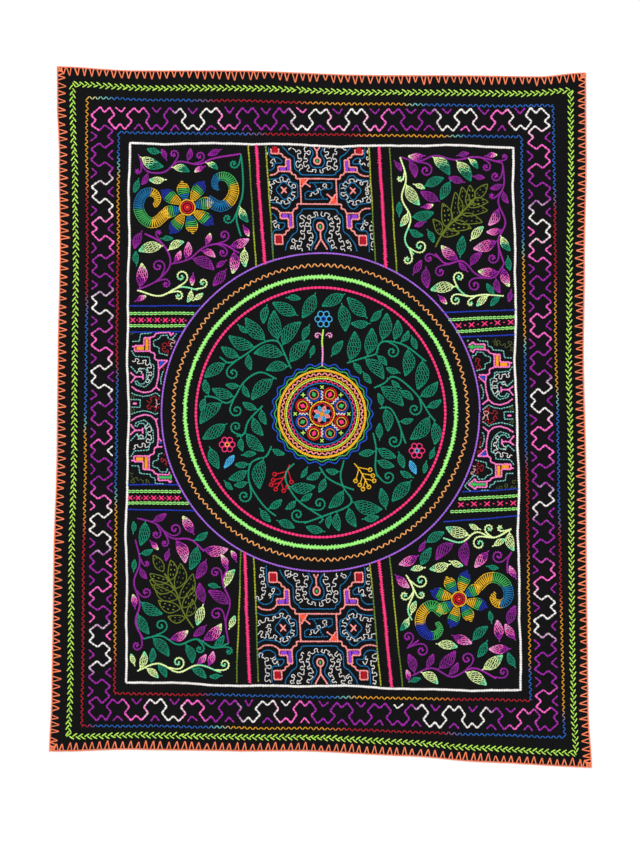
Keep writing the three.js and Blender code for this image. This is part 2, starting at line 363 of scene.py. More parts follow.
# Lines in plan.
def resample(line, pitch):
    """Points along a line at about the given pitch."""
    run = run_along(line)
    count = max(1, round(run[-1] / pitch))
    return read_off(np.linspace(0, run[-1], count + 1), run, line)


def cornered(line, pitch):
    """Points along a line at about the given pitch, with one at each of its corners."""
    line = np.asarray(line, float)
    spans = [resample(line[i : i + 2], pitch)[:-1] for i in range(len(line) - 1)]
    return np.concatenate(spans + [line[-1:]])


def curved(points, pitch=1.0):
    """A smooth line through the points (Catmull-Rom)."""
    p = np.asarray(points, float)
    p = np.concatenate([2 * p[:1] - p[1:2], p, 2 * p[-1:] - p[-2:-1]])
    t = np.linspace(0, 1, 12, endpoint=False)[:, None]
    line = []
    for a, b, c, d in zip(p[:-3], p[1:-2], p[2:-1], p[3:]):
        line.append(b + 0.5 * t * (c - a + t * (2 * a - 5 * b + 4 * c - d + t * (3 * (b - c) + d - a))))
    return resample(np.concatenate(line + [p[-2:-1]]), pitch)


def round_line(centre, radius, lobes=0, depth=0.0, count=28):
    angle = np.linspace(0, TAU, count)
    return polar(centre, radius + depth * np.cos(lobes * angle), angle)


def spiral(centre, radius, start, turns, hand=1):
    share = np.linspace(0, 1, max(8, int(radius * turns * 2.4)))
    return polar(centre, radius * (1 - 0.86 * share), start + hand * share * turns * TAU)


def normals(points):
    """Unit normals to the left of a line at its points."""
    return left_of(unit(np.gradient(points, axis=0)))


def wobble(points, size, length, seed):
    """Moves a line's points off it smoothly, as hand work strays."""
    run = run_along(points)
    phase = np.random.default_rng(seed).uniform(0, TAU, 3)
    stray = sum(np.sin(run * TAU / (length * k) + phase[k - 1]) for k in (1, 2, 3)) / 3
    return points + normals(points) * (size * stray)[:, None]


# The share of a run, or of a colour's part of the cycle, in which one colour goes over into the next.
COLOUR_BLEND = 0.012
CYCLE_BLEND = 0.3


def dyed(runs, shares):
    """Colours of a variegated yarn. A run is (colour, share of the length where it ends)."""
    places, colours = [], []
    start = 0.0
    for name, end in runs:
        soft = min(COLOUR_BLEND, (end - start) / 2)
        places += [start + soft, end - soft]
        colours += [linear(name)] * 2
        start = end
    return read_off(shares, places, colours)


def cycled(names, period, distance, phase):
    """Colours of a variegated yarn whose colours come round again, each as long as the next."""
    colours = np.array([linear(name) for name in names])
    way = (distance / period + phase) % 1 * len(colours)
    first = way.astype(int) % len(colours)
    mix = smooth((way % 1 - 1 + CYCLE_BLEND) / CYCLE_BLEND)[:, None]
    return colours[first] * (1 - mix) + colours[(first + 1) % len(colours)] * mix


def plain(colour):
    return [(colour, 1.0)]


# Kinds of stitch. Each takes the piece's yarn, points at the stitch pitch, a width and a colour or colours.
# Strands and leans are shares of the stitch's width. A chain's belly and tail are shares of its length.
STEM_LEAN = 0.38
STEM_STRAND = 0.66
STEM_END_STRAND = 0.72
CHAIN_STRAND = 0.38
CHAIN_BELLY = 0.58
CHAIN_TAIL = 0.12
CHAIN_TAIL_BOW = 0.3
CHAIN_BELLY_BOW = 1.15
ZIGZAG_SPREAD = 0.12
WOUND_SPREAD = 0.13
WOUND_LEAN = 0.5
WOUND_RAISED = 0.35


def back_stitch(yarn, points, width, dye, overlap=0.0):
    starts, ends = points[:-1], points[1:]
    yarn.straight(starts - overlap * (ends - starts), ends, width, dye)


def stem_stitch(yarn, points, width, dye):
    """Overlapping slanted stitches, each beginning beside the middle of the one before."""
    if len(points) < 3:
        back_stitch(yarn, points, width, dye)
        return
    shades = np.broadcast_to(dye, (len(points) - 1, 3))
    lean = normals(points) * width * STEM_LEAN
    yarn.straight(points[:-2] - lean[:-2], points[2:] + lean[2:], width * STEM_STRAND, shades[:-1],
                  unevenness=0.05)
    back_stitch(yarn, points[:2], width * STEM_END_STRAND, shades[:1])
    back_stitch(yarn, points[-2:], width * STEM_END_STRAND, shades[-1:])


def chain_stitch(yarn, points, width, dye):
    """Linked loops: two bowed strands from each point to the next."""
    starts, ends = points[:-1], points[1:]
    strand = width * CHAIN_STRAND
    bow = normals(points)[:-1] * (width - strand) / 2
    middle = starts + CHAIN_BELLY * (ends - starts)
    tail = starts - CHAIN_TAIL * (ends - starts)
    for hand in (-1, 1):
        start = tail + hand * bow * CHAIN_TAIL_BOW
        yarn.bowed(start, middle + hand * bow * CHAIN_BELLY_BOW, ends, strand, dye)


def zigzag_stitch(yarn, points, swing, width, dye):
    sign = np.where(np.arange(len(points)) % 2, 1.0, -1.0)[:, None]
    swung = points + normals(points) * sign * swing * yarn.random.normal(1, ZIGZAG_SPREAD, (len(points), 1))
    yarn.straight(swung[:-1], swung[1:], width, dye, unevenness=0.06)


def wound_stitch(yarn, points, reach, width, dye):
    """Short slanted stitches across a line, so that it has jagged edges."""
    across = normals(points)
    lean = -left_of(across) * width * WOUND_LEAN
    near, far = (reach / 2 * yarn.random.normal(1, WOUND_SPREAD, (len(points), 1)) for _ in range(2))
    yarn.straight(points - across * near - lean, points + across * far + lean, width, dye, WOUND_RAISED)


# Node-based materials.
class Look:
    """A material, and a short way to add nodes to it."""

    def __init__(self, name, roughness, sheen, gloss):
        self.material = bpy.data.materials.new(name)
        self.material.use_nodes = True
        self.surface = self.material.node_tree.nodes["Principled BSDF"]
        self.surface.inputs["Roughness"].default_value = roughness
        self.surface.inputs["Sheen Weight"].default_value = sheen
        self.surface.inputs["Specular IOR Level"].default_value = gloss

    def join(self, inputs, values):
        """Sets each input to its value, or links it where the value is another node's output."""
        for key, value in values.items():
            if isinstance(value, bpy.types.NodeSocket):
                self.material.node_tree.links.new(value, inputs[key])
            else:
                inputs[key].default_value = value

    def node(self, kind, output, values, **settings):
        made = self.material.node_tree.nodes.new("ShaderNode" + kind)
        for key, value in settings.items():
            setattr(made, key, value)
        self.join(made.inputs, values)
        return made.outputs[output]

    def maths(self, kind, first, second=0.0):
        return self.node("Math", 0, {0: first, 1: second}, operation=kind)

    def finish(self, colour, height, strength, depth):
        """Joins a colour and a bump from a height to the surface."""
        bump = self.node("Bump", "Normal", {"Strength": strength, "Distance": depth * MM, "Height": height})
        self.join(self.surface.inputs, {"Base Color": colour, "Normal": bump})
        return self.material


PLIES = 2
PLY_PITCH = 1.1
THREAD_PITCH = 0.85 * MM


def yarn_material():
    """Dyed cotton yarn: two twisted plies, with painted shade darkening the groove between them and painted
    light on their ridges, and loose fibres.
    """
    look = Look("Twisted yarn", 0.82, 0.05, 0.12)
    dye = look.node("Attribute", "Color", {}, attribute_name="dye")
    strand = look.node("UVMap", "UV", {}, uv_map="Strand")
    apart = look.node("SeparateXYZ", "X", {0: strand}).node.outputs
    along = look.maths("MULTIPLY", apart["X"], TAU / PLY_PITCH)
    around = look.maths("MULTIPLY", apart["Y"], TAU * PLIES)
    wave = look.maths("SINE", look.maths("ADD", along, around))
    place = look.node("TexCoord", "Object", {})
    fibre = look.node("TexNoise", "Fac", {"Vector": place, "Scale": 1400.0, "Detail": 2.0})
    height = look.maths("ADD", wave, look.maths("MULTIPLY", fibre, 1.2))
    span = {"From Min": -1.0, "From Max": 2.0, "To Min": 0.74, "To Max": 1.3}
    # Painted shade and light: the dye is darkened in the groove between the plies and lightened on their
    # ridges, and the loose fibres add random tone.
    shade = look.node("MapRange", "Result", {"Value": height, **span})
    dye_with_painted_shade = look.node("VectorMath", "Vector", {0: dye, "Scale": shade}, operation="SCALE")
    return look.finish(dye_with_painted_shade, height, 0.5, 0.15)


def cotton_material():
    """Black plain-weave cotton: threads over and under, slubs, and a painted highlight that lightens the
    raised threads.
    """
    look = Look("Black cotton", 0.95, 0.02, 0.08)
    place = look.node("TexCoord", "Object", {})
    thread = {"Vector": place, "Scale": TAU / (20 * THREAD_PITCH), "Distortion": 0.6, "Detail": 1.0,
              "Detail Scale": 0.35}
    weave = [look.node("TexWave", "Fac", thread, bands_direction=way) for way in ("X", "Y")]
    over = look.maths("MULTIPLY", *[look.maths("SUBTRACT", wave, 0.5) for wave in weave])
    slub = look.node("TexNoise", "Fac", {"Vector": place, "Scale": 260.0, "Detail": 4.0})
    height = look.maths("ADD", look.maths("MULTIPLY", over, 4.0), slub)
    # Painted highlight: the colour is lighter where the woven threads stand up, as if they caught the light,
    # and the slubs add random tone.
    thread_highlight_and_slub = look.node("MapRange", "Result", {"Value": height, "From Min": -0.4, "From Max": 1.5})
    tones = {"Factor": thread_highlight_and_slub, "A": (0.0022, 0.0022, 0.0028, 1), "B": (0.0085, 0.0085, 0.0095, 1)}
    colour = look.node("Mix", "Result", tones, data_type="RGBA")
    return look.finish(colour, height, 0.6, 0.25)


yarn_look = yarn_material()
cotton_look = cotton_material()


# The ground: a closed thin sheet on the shape of the cloth's solid.
GRID_ACROSS = 168
GRID_DOWN = 216
RIM_DROP = 0.35
UNDER_LIFT = 0.02
UNDER_FOLLOWS = 0.35
FACE_MAP = (0.49, 1)
BACK_MAP_START = (0.51, 0)


def make_cloth():
    across, down = np.meshgrid(np.linspace(0, 1, GRID_ACROSS + 1), np.linspace(0, 1, GRID_DOWN + 1))
    plan = cloth_point(across, down).reshape(-1, 2)
    share = np.stack([across.ravel(), down.ravel()], axis=1)
    drop = RIM_DROP * ((share == 0) | (share == 1)).any(axis=1)
    face = face_height(plan)
    under = np.maximum(UNDER_LIFT, UNDER_FOLLOWS * (face - FACE_HEIGHT)) + drop
    vertices = np.concatenate([np.column_stack([plan, face - drop]), np.column_stack([plan, under])])
    grid = np.arange(len(plan)).reshape(across.shape)
    squares = np.stack([grid[:-1, :-1], grid[1:, :-1], grid[1:, 1:], grid[:-1, 1:]], axis=2).reshape(-1, 4)
    loop = np.concatenate([grid[0, :-1], grid[:-1, -1], grid[-1, :0:-1], grid[:0:-1, 0]])
    after = np.roll(loop, -1)
    rim = np.stack([loop, after, after + len(plan), loop + len(plan)], axis=1)
    faces = np.concatenate([squares, squares[:, ::-1] + len(plan), rim])
    spot = np.concatenate([share * FACE_MAP, share * FACE_MAP + BACK_MAP_START])
    bake = {"OFBake": spot[faces.ravel()]}
    return new_mesh("cloth_ground", "ground_cotton", cotton_look, vertices, [faces], bake, replaced=["cloth"])


# The yarn edging: closed blanket stitches, two legs to each point, over the edge and back under it.
EDGE_CLEAR = 1.1
EDGE_YARN = 1.45
LEG_YARN = 1.55
TOOTH_PITCH = 9.9
TOOTH_BASE = 3.1
TOOTH_LENGTH = 9.9
CORNER_MARGIN = 14.0
# The two points nearest each corner: how far along the edge they stand, and how far they reach in.
CORNER_PLACES = np.array([2.6, 6.8])
CORNER_REACHES = (5.5, 9.0)
CORNER_OVERHANG = 1.5
RAIL_OVERHANG = 2.0
PLACE_SPREAD = 0.45
TIP_SPREAD = 0.5
TOOTH_SPREAD = 0.1
LEG_SPREAD = 0.07
LEG_GAP = 0.6
# The yarn line along the edge: its height, and the lift and unevenness of its upper and lower strand.
RAIL_HEIGHT = 0.9
RAIL_STRANDS = ((0.1, 0.08), (-0.6, 0.05))
# Each point of a leg: its share of the way out from the tip to the rim, its distance beyond that place, and
# its height in half widths above the face. The last two are under the cloth, at heights of their own.
LEG_STEPS = [(0, 0, -0.6), (0.12, 0, 0.5), (0.55, 0, 0.65), (1, -1.2, 0.55), (1, 0.35, 0), (1, -1.4, 0)]
LEG_UNDER_HEIGHTS = (0.75, 0.3)
LEG_PLUMP = np.array([0, 0.9, 1, 1, 0.8, 0])


def make_edging(side, seed):
    yarn = Yarn(f"edging_yarn_{side}", seed, "edging_yarn")
    length = length_of("cloth", side)

    def place(along, inset):
        return edge_point("cloth", side, np.asarray(along) / length, inset)

    room = length - 2 * CORNER_MARGIN
    count = round(room / TOOTH_PITCH) + 1
    places = CORNER_MARGIN + np.linspace(0, room, count) + yarn.random.normal(0, PLACE_SPREAD, count)
    places = np.concatenate([CORNER_PLACES, places, length - CORNER_PLACES])
    reach = TOOTH_LENGTH * yarn.random.normal(1, TOOTH_SPREAD, len(places))
    reach[[0, -2]], reach[[1, -1]] = CORNER_REACHES
    tips = place(places + yarn.random.normal(0, TIP_SPREAD, len(places)), reach)
    half = TOOTH_BASE * yarn.random.normal(1, TOOTH_SPREAD, len(places))
    stops = [[-RAIL_OVERHANG, length + RAIL_OVERHANG]]
    for hand in (-1, 1):
        foot = np.clip(places + hand * half, -CORNER_OVERHANG, length + CORNER_OVERHANG)
        apart = place(foot, 0) - place(foot - hand * LEG_GAP, 0)
        sew_legs(yarn, tips + hand * apart, place(foot, -EDGE_CLEAR))
        stops.append(foot)
    line = place(np.sort(np.concatenate(stops)), -EDGE_CLEAR)
    rail = RAIL_HEIGHT - face_height(line[:-1])
    for lift, unevenness in RAIL_STRANDS:
        yarn.straight(line[:-1], line[1:], EDGE_YARN, linear("coral"), rail + lift, unevenness)
    return yarn.build([f"edging_{side}"])


def sew_legs(yarn, tips, rim):
    """Legs from points on the face, out over the edge and back beneath the cloth."""
    count = len(tips)
    outward = unit(rim - tips)
    paths = []
    for share, beyond, lift in LEG_STEPS:
        point = tips + share * (rim - tips) + beyond * outward
        height = face_height(point) + lift * LEG_YARN / 2
        paths.append(np.column_stack([point, height]))
    paths = np.stack(paths, axis=1)
    paths[:, -2:, 2] = LEG_UNDER_HEIGHTS
    radii = LEG_PLUMP * LEG_YARN / 2 * yarn.random.normal(1, LEG_SPREAD, (count, 1))
    dye = linear("coral") * yarn.random.normal(1, WIDTH_SPREAD, (count, 1))
    side = np.column_stack([-left_of(outward), np.zeros(count)])
    yarn.add(paths, radii, dye, np.repeat(side[:, None], len(LEG_STEPS), axis=1))


# The borders round the cloth, from outside in.
FEATHER_PITCH = 7.7
FEATHER_REACH = 3.9
FEATHER_YARN = 1.75
FEATHER_OVERLAP = 0.9
FEATHER_RAISED = 0.25


def make_feather(seed):
    yarn = Yarn("feather_border", seed)
    for length, place in sides_of("feather"):
        count = round(length / FEATHER_PITCH)
        for hand, shift in ((1, 0.0), (-1, 0.5)):
            at = (np.arange(count) + shift) * length / count
            at = at + yarn.random.normal(0, 0.35, count)
            reach = hand * FEATHER_REACH * yarn.random.normal(1, 0.12, count)
            tip = at + FEATHER_PITCH * 0.95
            middle = place((at + tip) / 2, reach / 2)
            yarn.bowed(place(at, reach), middle, place(tip, -FEATHER_OVERLAP * hand), FEATHER_YARN,
                       linear("lime"), FEATHER_RAISED * (hand > 0))
    return yarn.build()


# Colours along each side of the borders, clockwise from the top left corner, and where each ends.
OUTER_RUNS = [
    [("pale_yellow", 0.02), ("pale_teal", 0.05), ("blue", 0.235), ("grey_purple", 0.265), ("red", 0.46),
     ("orange", 0.485), ("yellow", 0.69), ("pale_teal", 0.72), ("blue", 1.0)],
    [("blue", 0.14), ("grey_purple", 0.155), ("red", 0.28), ("orange", 0.3), ("yellow", 0.455),
     ("pale_teal", 0.475), ("blue", 0.65), ("grey_purple", 0.67), ("red", 0.78), ("orange", 0.8),
     ("yellow", 0.965), ("blue", 1.0)],
    [("blue", 0.22), ("grey_purple", 0.24), ("red", 0.46), ("orange", 0.49), ("yellow", 0.7),
     ("pale_teal", 0.73), ("blue", 0.98), ("red", 1.0)],
    [("red", 0.31), ("orange", 0.33), ("yellow", 0.475), ("pale_teal", 0.49), ("blue", 0.66),
     ("grey_purple", 0.68), ("red", 0.85), ("orange", 0.87), ("yellow", 1.0)],
]
INNER_RUNS = [
    [("blue", 0.32), ("grey_purple", 0.36), ("red", 0.59), ("orange", 0.62), ("yellow", 0.82),
     ("pale_teal", 0.85), ("blue", 1.0)],
    [("blue", 0.19), ("pale_teal", 0.21), ("yellow", 0.36), ("pale_teal", 0.38), ("blue", 0.56),
     ("grey_purple", 0.58), ("red", 0.74), ("orange", 0.76), ("yellow", 0.94), ("blue", 1.0)],
    [("red", 0.19), ("orange", 0.22), ("yellow", 0.43), ("pale_teal", 0.46), ("blue", 0.78), ("red", 1.0)],
    [("red", 0.06), ("orange", 0.08), ("yellow", 0.34), ("pale_teal", 0.36), ("blue", 0.56),
     ("grey_purple", 0.58), ("red", 0.785), ("orange", 0.8), ("yellow", 0.93), ("pale_teal", 0.95),
     ("blue", 1.0)],
]
CROSS_RUNS = [
    [("pink", 0.11), ("purple", 0.18), ("white", 0.28), ("pink", 0.32), ("purple", 0.45), ("white", 0.54),
     ("pink", 0.57), ("white", 0.63), ("pink", 0.68), ("purple", 0.79), ("white", 0.89), ("pink", 0.96),
     ("white", 1.0)],
    [("white", 0.03), ("pink", 0.09), ("purple", 0.153), ("white", 0.214), ("pink", 0.25), ("purple", 0.32),
     ("pink", 0.385), ("purple", 0.449), ("white", 0.51), ("pink", 0.58), ("purple", 0.633), ("white", 0.673),
     ("purple", 0.755), ("pink", 0.8), ("white", 0.878), ("purple", 0.97), ("pink", 1.0)],
    [("purple", 0.04), ("pink", 0.09), ("purple", 0.137), ("white", 0.3), ("purple", 0.55), ("pink", 0.62),
     ("white", 0.7), ("purple", 0.78), ("pink", 0.836), ("white", 0.918), ("pink", 0.97), ("purple", 1.0)],
    [("purple", 0.073), ("white", 0.146), ("purple", 0.19), ("pink", 0.23), ("purple", 0.281),
     ("white", 0.354), ("pink", 0.38), ("purple", 0.458), ("pink", 0.49), ("purple", 0.542),
     ("white", 0.604), ("pink", 0.656), ("purple", 0.677), ("white", 0.719), ("purple", 0.792),
     ("pink", 0.854), ("white", 0.917), ("purple", 1.0)],
]
ZIGZAG_PITCH = 3.6
ZIGZAG_SWING = 2.05
ZIGZAG_YARN = 1.3
# How far a line strays from its place, and over what length.
ZIGZAG_STRAY = (0.6, 90)
FRAME_STRAYS = ((1.9, 110), (0.45, 19))
BAND_STRAY = (0.5, 60)


def make_zigzag(line, runs, seed):
    yarn = Yarn(line, seed)
    for (length, place), colours in zip(sides_of(line), runs):
        points = resample(wobble(place(np.linspace(0, length, 200)), *ZIGZAG_STRAY, seed), ZIGZAG_PITCH)
        shares = (np.arange(len(points) - 1) + 0.5) / (len(points) - 1)
        zigzag_stitch(yarn, points, ZIGZAG_SWING, ZIGZAG_YARN, dyed(colours, shares))
    return yarn.build()


# The border of crosses: one line over one cross and under the next, with a chevron facing each cross.
CROSS_COUNTS = (24, 32, 24, 32)
CROSS_LENGTH = 24.4
CROSS_LINE = np.array([(-15.4, 3.8), (-6.7, 14.4), (0, 7.4), (6.7, 14.4), (15.4, 3.8)])
CORNER_LINE = np.array([(-3.8, -16.4), (-14.4, -9.5), (-7.4, -3.4), (-14.4, 3.2), (-3.2, 14.4), (3.4, 7.4),
                        (9.5, 14.4), (16.4, 3.8)])
CHEVRON_LINE = np.array([(-6.3, 14.6), (0, 7.6), (6.3, 14.6)])
CROSS_YARN = 2.5
CROSS_STITCH = 4.4
CHEVRON_STITCH = 4.8
# The chances of a purple and of a pink chevron. The rest are white.
CHEVRON_PURPLE = 0.86
CHEVRON_PINK = 0.1
# How far a back stitch goes back over the one before, as a share of its length.
LAP = 0.12


def make_cross_border(seed):
    yarn = Yarn("cross_border", seed)
    chevrons = Yarn("cross_chevrons", seed + 1)
    loop, side_starts = [], []
    for (length, place), count in zip(sides_of("crosses"), CROSS_COUNTS):
        pitch = length / count
        loop.append(place(*CORNER_LINE.T))
        side_starts.append(loop[-1][0])
        for cross in range(1, count):
            sign = 1 if cross % 2 == 0 else -1
            rows = CROSS_LINE * [pitch / CROSS_LENGTH, sign] + [cross * pitch, 0]
            loop.append(place(*rows.T))
            facing = CHEVRON_LINE * [1, -sign] + [cross * pitch, 0]
            facing = place(*(facing + chevrons.random.normal(0, 0.6, facing.shape)).T)
            odd = chevrons.random.random() - CHEVRON_PURPLE
            colour = "purple" if odd < 0 else "pink" if odd < CHEVRON_PINK else "white"
            back_stitch(chevrons, cornered(facing, CHEVRON_STITCH), CROSS_YARN * 0.9, linear(colour), LAP)
    corners = np.concatenate(loop)
    corners = corners + yarn.random.normal(0, 0.4, corners.shape)
    points = cornered(np.concatenate([corners, corners[:1]]), CROSS_STITCH)
    starts = [0] + [int(np.argmin(np.linalg.norm(points - place, axis=1))) for place in side_starts[1:]]
    for first, last, runs in zip(starts, starts[1:] + [len(points) - 1], CROSS_RUNS):
        part = points[first : last + 1]
        way = part[-1] - part[0]
        share = (part[:-1] - part[0]) @ way / (way @ way)
        back_stitch(yarn, part, CROSS_YARN, dyed(runs, share), LAP)
    return yarn.build(), chevrons.build()


FRAME_YARN = 3.4
FRAME_STITCH = 3.3


def make_frame_line(seed):
    yarn = Yarn("frame_line", seed)
    for index, (length, place) in enumerate(sides_of("frame")):
        line = place(np.linspace(0, length, 160))
        for stray in FRAME_STRAYS:
            line = wobble(line, *stray, seed + index)
        stem_stitch(yarn, resample(line, FRAME_STITCH), FRAME_YARN, linear("white"))
    return yarn.build()


# The rings round the middle: each one's radius, the pitch of its stitches, and how far and long it strays.
OUTER_RING_RADIUS = 208.0
RINGS = {
    "ring_purple": (OUTER_RING_RADIUS, 4.0, 0.5, 140),
    "ring_peach": (192.5, 4.3, 0.8, 120),
    "ring_green": (177.0, 4.4, 0.5, 110),
    "ring_pink": (163.0, 5.0, 0.7, 130),
}


PEACH_SWING, PEACH_YARN = 2.7, 1.6
PURPLE_YARN = 2.4
GREEN_CORE, GREEN_REACH, GREEN_YARN = 4.2, 7.0, 2.2
PINK_YARN = 3.3
PINK_CORE = 0.45 * PINK_YARN


def sew_ring(name, yarn, points):
    if name == "ring_purple":
        stem_stitch(yarn, points, PURPLE_YARN, linear("orchid"))
    elif name == "ring_peach":
        zigzag_stitch(yarn, points, PEACH_SWING, PEACH_YARN, linear("peach"))
    elif name == "ring_green":
        stem_stitch(yarn, points, GREEN_CORE, linear("light_green"))
        wound_stitch(yarn, points, GREEN_REACH, GREEN_YARN, linear("light_green"))
    else:
        chain_stitch(yarn, points, PINK_YARN, linear("hot_pink"))
        back_stitch(yarn, points, PINK_CORE, linear("hot_pink"))


def make_rings(seed):
    for index, (name, (radius, pitch, stray, length)) in enumerate(RINGS.items()):
        yarn = Yarn(name, seed + index)
        points = round_line(RING_CENTRE, radius, count=round(TAU * radius / pitch) + 1)
        sew_ring(name, yarn, wobble(points, stray, length, seed + index))
        yarn.build()


# Straight bands between the frame and the rings. Each row has the two ends of a line and its kind.
VERTICAL_BANDS = [
    ((-94.2, 355.0), (-84.4, 197.0), "olive"),
    ((-84.4, 355.0), (-73.0, 200.5), "pink"),
    ((-71.3, 354.5), (-61.6, 203.5), "olive"),
    ((63.2, 352.5), (72.0, 200.0), "olive"),
    ((76.4, 352.5), (85.8, 196.0), "pink"),
    ((90.2, 352.0), (99.4, 189.0), "olive"),
    ((-109.6, -347.5), (-104.1, -173.5), "olive"),
    ((-92.9, -347.0), (-99.2, -177.0), "pink"),
    ((-81.1, -346.5), (-87.1, -183.5), "olive"),
    ((78.9, -351.5), (64.7, -192.0), "olive"),
    ((93.2, -352.0), (76.5, -188.0), "pink"),
    ((107.0, -352.5), (90.4, -182.0), "olive"),
]
HORIZONTAL_BANDS = [
    ((-250.5, 145.4), (-156.5, 145.4), "blue"),
    ((-250.5, 135.4), (-165.0, 135.4), "green"),
    ((-250.5, 126.6), (-171.0, 126.6), "crosses"),
    ((-250.5, 119.4), (-176.0, 119.4), "green"),
    ((-250.5, 111.2), (-180.5, 111.2), "blue"),
    ((-253.0, -88.6), (-186.0, -88.6), "blue"),
    ((-253.0, -96.8), (-182.5, -97.6), "green"),
    ((-253.5, -105.4), (-177.5, -105.8), "crosses"),
    ((-253.5, -112.5), (-172.0, -113.0), "green"),
    ((-253.5, -120.4), (-164.5, -122.4), "blue"),
    ((256.5, 140.0), (159.5, 136.7), "blue"),
    ((256.5, 131.0), (167.0, 127.4), "green"),
    ((257.0, 124.3), (172.0, 119.5), "wide_crosses"),
    ((257.0, 117.5), (177.5, 111.0), "green"),
    ((257.0, 107.6), (182.5, 104.6), "blue"),
    ((260.5, -93.5), (185.0, -98.2), "blue"),
    ((260.5, -102.3), (180.5, -107.3), "green"),
    ((260.5, -112.4), (175.0, -114.9), "wide_crosses"),
    ((260.5, -119.8), (169.5, -123.7), "green"),
    ((261.0, -129.3), (160.5, -136.8), "blue"),
]
BAND_PITCH = {"olive": 4.2, "pink": 3.4, "green": 5.4, "blue": 3.6, "crosses": 5.15, "wide_crosses": 8.4}
BAND_YARN = {"olive": 2.1, "pink": 3.2, "green": 4.0, "blue": 2.0}
CROSS_REACH = {"crosses": 3.7, "wide_crosses": 4.4}
CROSS_HALF_HEIGHT = 3.6
OLIVE_PERIOD = 170.0


def band_line(yarn, start, end, kind, seed):
    start, end = np.array(start), np.array(end)
    line = wobble(start + np.linspace(0, 1, 60)[:, None] * (end - start), *BAND_STRAY, seed)
    points = resample(line, BAND_PITCH[kind])
    if kind == "olive":
        run = BAND_PITCH["olive"] * np.arange(len(points) - 1)
        dye = cycled(["olive", "yellow_green"], OLIVE_PERIOD, run, yarn.random.random())
        back_stitch(yarn, points, BAND_YARN[kind], dye, overlap=0.1)
    elif kind == "pink":
        stem_stitch(yarn, points, BAND_YARN[kind], linear("hot_pink"))
        wound_stitch(yarn, points, 5.6, 1.8, linear("hot_pink"))
    elif kind == "green":
        chain_stitch(yarn, points, BAND_YARN[kind], linear("light_green"))
    elif kind == "blue":
        back_stitch(yarn, points, BAND_YARN[kind], linear("deep_blue"), overlap=0.1)
    else:
        cross_row(yarn, points, CROSS_REACH[kind])


def cross_row(yarn, points, reach):
    """A row of crosses with a small dash between each two."""
    along = unit(points[-1] - points[0])
    middle, gap = points[1:-1:2], points[2:-1:2]
    for hand in (-1, 1):
        arm = reach * along + hand * CROSS_HALF_HEIGHT * left_of(along)
        yarn.straight(middle - arm, middle + arm, 1.7, linear("hot_pink"), raised=0.3 * (hand > 0))
    dash = 0.35 * reach * along
    yarn.straight(gap - dash, gap + dash, 1.6, linear("hot_pink"))


def make_bands(name, rows, seed):
    yarn = Yarn(name, seed)
    for index, (start, end, kind) in enumerate(rows):
        band_line(yarn, start, end, kind, seed + index)
    return yarn.build()


# Stepped panels. Charts are in millimetres from a panel's middle, one quarter or half of it, and mirrored.
def within(yarn, starts, ends, width, colour, room):
    """Straight stitches, only where both ends lie in the room that the panel has."""
    keep = room(starts) & room(ends)
    if keep.any():
        yarn.straight(starts[keep], ends[keep], width, linear(colour), unevenness=0.1)


def outline(yarn, points, width, colour, room, pitch=3.4, gap=0.0):
    stops = cornered(points, pitch)
    step = np.diff(stops, axis=0)
    within(yarn, stops[:-1] - 0.1 * step, stops[1:] - gap * step, width, colour, room)


SATIN_PITCH = 1.15
SATIN_YARN = 1.5


def filled(yarn, polygon, colour, room, slope=0.0):
    """Satin stitches across a convex shape."""
    turn = np.array([[math.cos(slope), -math.sin(slope)], [math.sin(slope), math.cos(slope)]])
    shape = np.asarray(polygon, float) @ turn
    low, high = shape[:, 1].min(), shape[:, 1].max()
    rows = []
    for level in np.arange(low + SATIN_PITCH * 0.4, high, SATIN_PITCH):
        hits = []
        for a, b in zip(shape, np.roll(shape, -1, axis=0)):
            if (a[1] - level) * (b[1] - level) < 0:
                hits.append(a[0] + (b[0] - a[0]) * (level - a[1]) / (b[1] - a[1]))
        if len(hits) == 2:
            rows.append([(min(hits), level), (max(hits), level)])
    if rows:
        starts, ends = (np.array(rows) @ turn.T).transpose(1, 0, 2)
        within(yarn, starts, ends, SATIN_YARN, colour, room)


# One swing of a wandering line: share of its length, and side of the path.
MEANDER = np.array([(0.0, -0.85), (0.26, -1.0), (0.37, -0.25), (0.24, 0.4), (0.36, 1.0),
                    (0.64, 1.0), (0.76, 0.4), (0.63, -0.25), (0.74, -1.0)])
MEANDER_LENGTH = 9.6
MEANDER_SWING = 2.7
MEANDER_YARN = 1.1


def meander(yarn, path, colour, room):
    """A wandering line of small stitches that swings to both sides of a path."""
    line = curved(path) if len(path) > 2 else resample(path, 1.0)
    run = run_along(line)
    count = max(1, round(run[-1] / MEANDER_LENGTH))
    at = (np.arange(count)[:, None] + MEANDER[:, 0]).ravel() / count * run[-1]
    swing = np.tile(MEANDER[:, 1], count) * MEANDER_SWING
    swing = swing * np.repeat(yarn.random.normal(1, 0.2, count), len(MEANDER))
    points = read_off(at, run, line) + read_off(at, run, normals(line)) * swing[:, None]
    points = points + yarn.random.normal(0, 0.36, points.shape)
    step = np.diff(points, axis=0)
    within(yarn, points[:-1] - 0.06 * step, points[1:] + 0.06 * step, MEANDER_YARN, colour, room)


